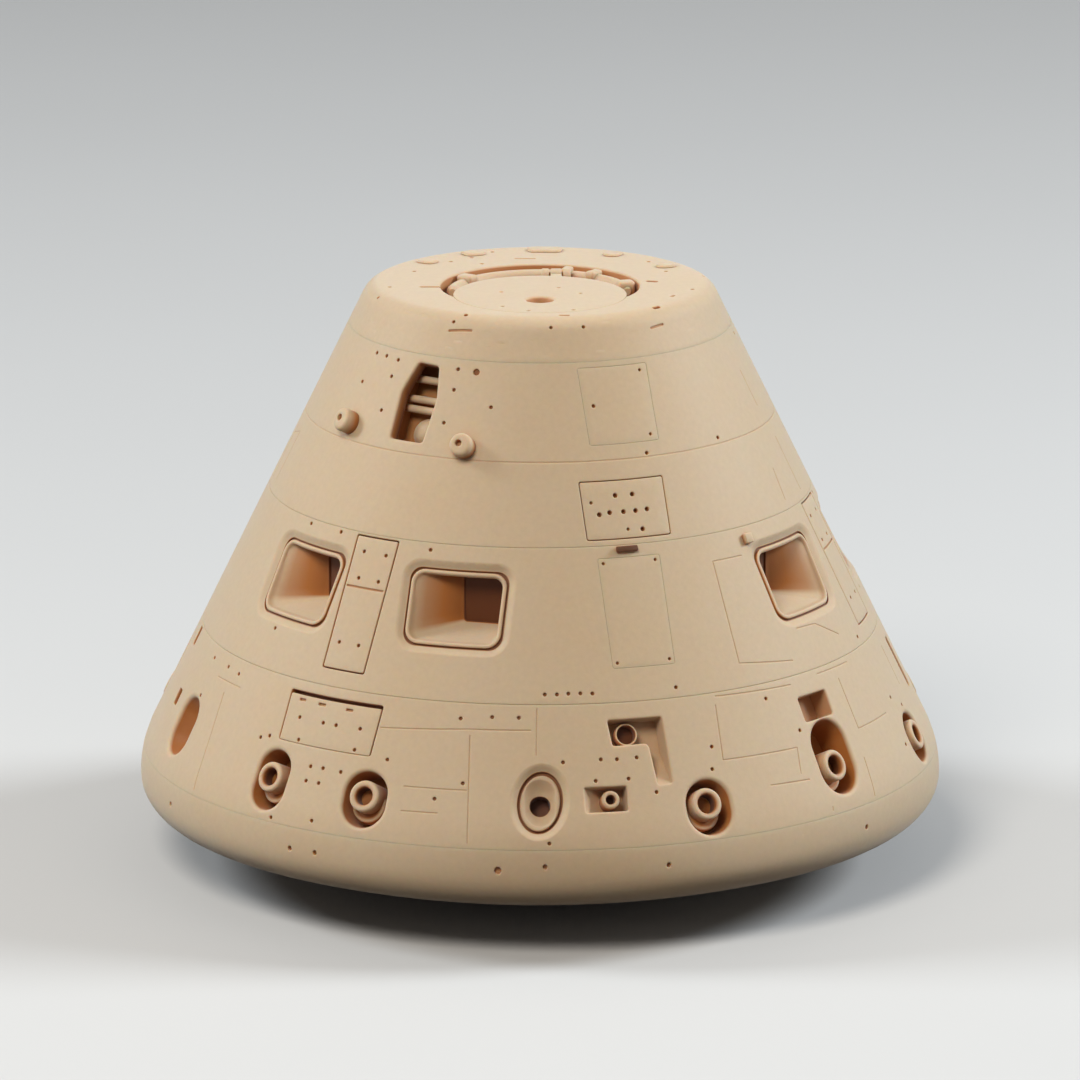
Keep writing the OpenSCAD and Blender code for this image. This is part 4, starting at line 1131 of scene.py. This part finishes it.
# Deck: the lid's seat, the hose trench round it and the pits
deck = {"seamZ": 109.0, "lidY": -12.0, "lidR": 17.0, "lidT": 2.4, "seatR": 15.0, "gap": 0.4, "slit": 0.07,
        "trenchY": -4.0, "trenchR": 19.6, "trenchDepth": 3.2, "thick": 3.9}
hinge = {"x": 3.2, "y": 9.2, "z": 116.0, "knuckleR": 1.5, "knuckle": 2.2, "ear": 1.5, "gap": 0.3,
         "earLow": 113.3, "armLow": 115.0, "armHigh": 116.7}
deckS = float(topS - sAt(deck["seamZ"]))
lidBore = pit((0, deck["lidY"]), deck["lidR"] + deck["slit"], deck["lidT"], 0.12, tint=0.2)
deckMarks = [
    lidBore, pit((0, deck["lidY"]), deck["seatR"], deck["thick"], 0.3, hole=True),
    pit((0, deck["trenchY"]), deck["trenchR"], deck["trenchDepth"], 0.45, minus=[lidBore], tint=0.5),
    boxMark((22.1, -0.3), 2.4, 1.3, 0.4, 0.8, tint=0.9, turn=-0.3),
    boxMark((4.7, -31.0), 2.2, 0.8, 0.38, 0.6, tint=0.8),
    boxMark((-3.0, 20.9), 4.3, 0.6, 0.29, 0.6, tint=0.9),
    boxMark((22.7, -23.3), 2.0, 0.9, 0.4, 0.6, tint=0.8, turn=0.8),
    boxMark((-21.3, -5.4), 5.0, 1.1, 0.5, 0.7, tint=0.4),
    boxMark((26.0, -13.7), 1.6, 0.7, 0.33, 0.4, turn=1.1),
]
deckMarks += dots([(-14.4, -29.6), (-17.8, 18), (-13.7, 21.8), (-9.6, 27.2), (-11.6, 16), (21.7, 18),
                   (-29.6, -5.5), (30.0, -7.6), (13, 25), (25, 9), (-25, 9)], 0.42, 0.4)
deckMarks += dots([capSpot(az, s) for az, s in [
    (-29, 35.0), (3.5, 35.2), (14, 35.3), (-70, 34), (100, 33), (135, 34), (160, 33), (-160, 34), (-130, 33),
    (-105, 34)]], 0.34, 0.5)
for az, s, long in [(-26, 36.6, 5.2), (40, 36.8, 3.6)]:
    deckMarks.append(boxMark(capSpot(az, s), long, 0.4, 0.19, 0.25, lip=0.15, turn=math.radians(az) + 0.1))
deckRings = [pit((0, 0), s, 0, pace=2.4) for s in np.arange(float(topS - hullS[-2]) + 0.2, deckS - 0.6, 0.7)]
deckOutline = pit((0, 0), deckS, 0, 0.05, pace=2.4, tint=0.1)
deckSheet = sculptSheet(capSurface(True), deckOutline, deckMarks, deck["thick"], 3.0, guides=deckRings)


def deckBarrel(mid, long):
    return softRod(plainPlace, (mid - long / 2, hinge["y"], hinge["z"]),
                   (mid + long / 2, hinge["y"], hinge["z"]), hinge["knuckleR"] - 0.02, dome=0.15)


deckEars = []
for s in (-1, 1):
    mid = hinge["x"] + s * (hinge["knuckle"] / 2 + hinge["gap"] + hinge["ear"] / 2)
    foot = softBlock(plainPlace, hinge["ear"], 2 * hinge["knuckleR"], hinge["earLow"], hinge["z"],
                     0.1, 0.1, 0.3, (mid, hinge["y"]))
    deckEars += [deckBarrel(mid, hinge["ear"]), foot]
addPiece("topDeckSkin", [deckSheet] + deckEars, "top_deck")
print("deck made")

# Docking lid on its hinge
lid = {"plugLow": -3.6, "plugHigh": -2.3, "armReach": 2}
lidOutline = pit((0, 0), deck["lidR"], 0, 0.12, tint=0.15)
lidMarks = [pit((0, -5), 2.7, 1.6, 0.5)] + [
    pit(p, 0.42) for p in [(8.0, 0.8), (3.7, 5.9), (-7.6, 1.9), (-7.3, -11.0), (-2.2, -15.0), (6.5, -14.2)]]
lidSheet = sculptSheet(flatSurface(0, deck["lidY"], hull["deckZ"]), lidOutline, lidMarks, deck["lidT"], 3.0)
plugR, low, high = deck["seatR"] - deck["gap"], lid["plugLow"], lid["plugHigh"]
# The plug's side is painted dark with shade
lidPlug = turnedPart([(0, low), (plugR - 0.4, low), (plugR, low + 0.4), (plugR, high), (0, high)],
                     [0.2, 0.2, 0.3, 1, 1], lambda p: p + np.array([0, deck["lidY"], hull["deckZ"]]), 96)
armStart, armEnd = deck["lidY"] + deck["lidR"] - lid["armReach"], hinge["y"]
lidArm = softBlock(plainPlace, hinge["knuckle"], armEnd - armStart, hinge["armLow"], hinge["armHigh"],
                   0.1, 0.15, 0, (hinge["x"], (armStart + armEnd) / 2))
addPiece("dockingLid", [lidSheet, lidPlug, deckBarrel(hinge["x"], hinge["knuckle"]), lidArm], "docking_hatch",
         body="docking_lid")

# Hose along the trench with its clamps
hose = {"r": 1.3, "pathR": 17.4, "start": 8, "sweep": 166, "z": 115.1, "steps": 96,
        "clampLow": 113.8, "clampHigh": 117.0}
hoseLoops = []
for k in range(hose["steps"] + 1):
    turn = math.radians(hose["start"] + hose["sweep"] * k / hose["steps"])
    r = hose["r"] * (0.55, 0.85, 1.0)[min(k, hose["steps"] - k, 2)]
    side = np.array([math.cos(turn), math.sin(turn), 0.0])
    centre = hose["pathR"] * side + np.array([0, deck["trenchY"], hose["z"]])
    ring = [centre + r * (math.cos(a) * side + math.sin(a) * upright)
            for a in np.linspace(0, 2 * math.pi, 20, endpoint=False)]
    hoseLoops.append(np.array(ring)[::-1])
hoseParts = [loftedPart(hoseLoops, [0.0] * len(hoseLoops))]
for turnDeg, long, wide in [(14, 2.6, 3.4), (52, 1.8, 3.4), (72, 1.6, 3.4), (146, 2.4, 3.6)]:
    def clampPlace(p, turn=math.radians(turnDeg)):
        bent = spin(p[:, :2] + np.array([hose["pathR"], 0]), turn)
        return np.column_stack([bent[:, 0], bent[:, 1] + deck["trenchY"], p[:, 2]])
    hoseParts.append(softBlock(clampPlace, wide, long + 0.4, hose["clampLow"], hose["clampHigh"], 0.6, 0.5))
addPiece("deckHose", hoseParts, "deck_hose")

# Pads on the deck, bent round its middle
pad = {"radius": 28.43, "wide": 4, "low": 116.7, "high": 117.5, "corner": 1.2, "edge": 0.4}
padParts = []
for az, sweep in [(-128, 7), (-152, 9), (178, 14), (149, 7), (118, 6)]:
    def padPlace(p, az=az):
        turn = math.radians(az) + p[:, 0] / pad["radius"]
        r = pad["radius"] - p[:, 1]
        return np.stack([r * np.sin(turn), -r * np.cos(turn), p[:, 2]], axis=-1)
    padParts.append(softBlock(padPlace, pad["radius"] * math.radians(sweep), pad["wide"],
                              pad["low"], pad["high"], pad["corner"], pad["edge"]))
addPiece("deckPads", padParts, "deck_pads")
print("deck parts made")

# The CAD nodes that stay; the equipment bay and the hinge pins take the darker shaded print as painted shade
keptNodes = {"docking_tunnel": tanPrint, "docking_hinge_pin": shadedPrint, "crew_hinge_pin": shadedPrint,
             "equipment_bay": shadedPrint, "bay_dome": tanPrint}
for node, material in keptNodes.items():
    solids = frame["nodes"][node]
    for solid in solids if isinstance(solids, (list, tuple)) else [solids]:
        for slot in solid.material_slots:
            slot.material = material
            slot.material = material

# Floor, light and camera; a lamp has its place, size, strength and colour
studio = {"floor": (0.81, 0.80, 0.785), "bounce": (0.2, 0.17, 0.13), "floorR": 12,
          "sky": (0.93, 0.96, 1.0, 1), "world": 0.19, "seenWorld": 0.9, "aim": (0, 0, 0.06)}
lamps = {
    "key": ((-0.42, -1.0, 1.15), 0.6, 14.5, (1.0, 0.96, 0.90)),
    "fill": ((1.1, -0.8, 0.5), 0.9, 0.4, (1.0, 0.97, 0.93)),
    "rimLeft": ((-1.2, 0.15, 0.85), 0.5, 12.0, (0.84, 0.92, 1.0)),
    "rimRight": ((1.2, 0.15, 0.8), 0.5, 18.0, (0.84, 0.92, 1.0)),
}


def seenDirectly(tree):
    path = addNode(tree, "ShaderNodeLightPath").outputs
    return mathOf(tree, "MAXIMUM", path["Is Camera Ray"], path["Is Glossy Ray"])


def makeFloor():
    mesh = bpy.data.meshes.new("floor")
    ring = [(studio["floorR"] * math.cos(a), studio["floorR"] * math.sin(a), 0.0)
            for a in np.linspace(0, 2 * math.pi, 96, endpoint=False)]
    mesh.from_pydata(ring, [], [tuple(range(96))])
    floor = bpy.data.objects.new("floor", mesh)
    bpy.context.scene.collection.objects.link(floor)
    material = bpy.data.materials.new("paleFloor")
    material.use_nodes = True
    tree = material.node_tree
    cloud = noiseOf(tree, addNode(tree, "ShaderNodeTexCoord").outputs["Object"], 3.0)
    low, high = [srgb(*[v + more for v in studio["floor"]]) for more in (-0.01, 0.01)]
    pale = mixColour(tree, "MIX", cloud, low, high)
    shade = mixColour(tree, "MIX", seenDirectly(tree), srgb(*studio["bounce"]), pale)
    feed(tree, tree.nodes["Principled BSDF"].inputs,
         {"Base Color": shade, "Roughness": 0.8, "Specular IOR Level": 0.1})
    mesh.materials.append(material)
    floor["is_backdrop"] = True


def addLamp(name, place, size, energy, colour):
    lamp = bpy.data.lights.new(name, "AREA")
    lamp.shape = "DISK"
    lamp.size, lamp.energy, lamp.color = size, energy, colour
    holder = bpy.data.objects.new(name, lamp)
    holder.location = place
    aim = Vector(studio["aim"]) - Vector(place)
    holder.rotation_euler = aim.to_track_quat("-Z", "Y").to_euler()
    bpy.context.scene.collection.objects.link(holder)


def makeWorld():
    world = bpy.data.worlds.new("studio")
    bpy.context.scene.world = world
    world.use_nodes = True
    tree = world.node_tree
    more = mathOf(tree, "MULTIPLY", seenDirectly(tree), studio["seenWorld"] - studio["world"])
    strength = mathOf(tree, "ADD", more, studio["world"])
    feed(tree, tree.nodes["Background"].inputs, {"Color": studio["sky"], "Strength": strength})


makeFloor()
makeWorld()
for name, values in lamps.items():
    addLamp(name, *values)

view = {"aimZ": 0.059, "distance": 1.6, "tilt": 14.4, "lens": 267.4, "shiftY": 0.0232}
camera = bpy.data.objects.new("camera", bpy.data.cameras.new("camera"))
tilt = math.radians(view["tilt"])
camera.location = (0, -view["distance"] * math.cos(tilt), view["aimZ"] + view["distance"] * math.sin(tilt))
camera.rotation_euler = (math.pi / 2 - tilt, 0, 0)
camera.data.lens, camera.data.sensor_width, camera.data.shift_y = view["lens"], 36, view["shiftY"]
camera.data.clip_start = 0.01
bpy.context.scene.collection.objects.link(camera)
bpy.context.scene.camera = camera
bpy.context.scene.view_settings.view_transform = "Standard"
print("stage made")

low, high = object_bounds()
({"cad": [list(map(float, cadLow)), list(map(float, cadHigh))],
           "visual": [list(map(float, low)), list(map(float, high))]})
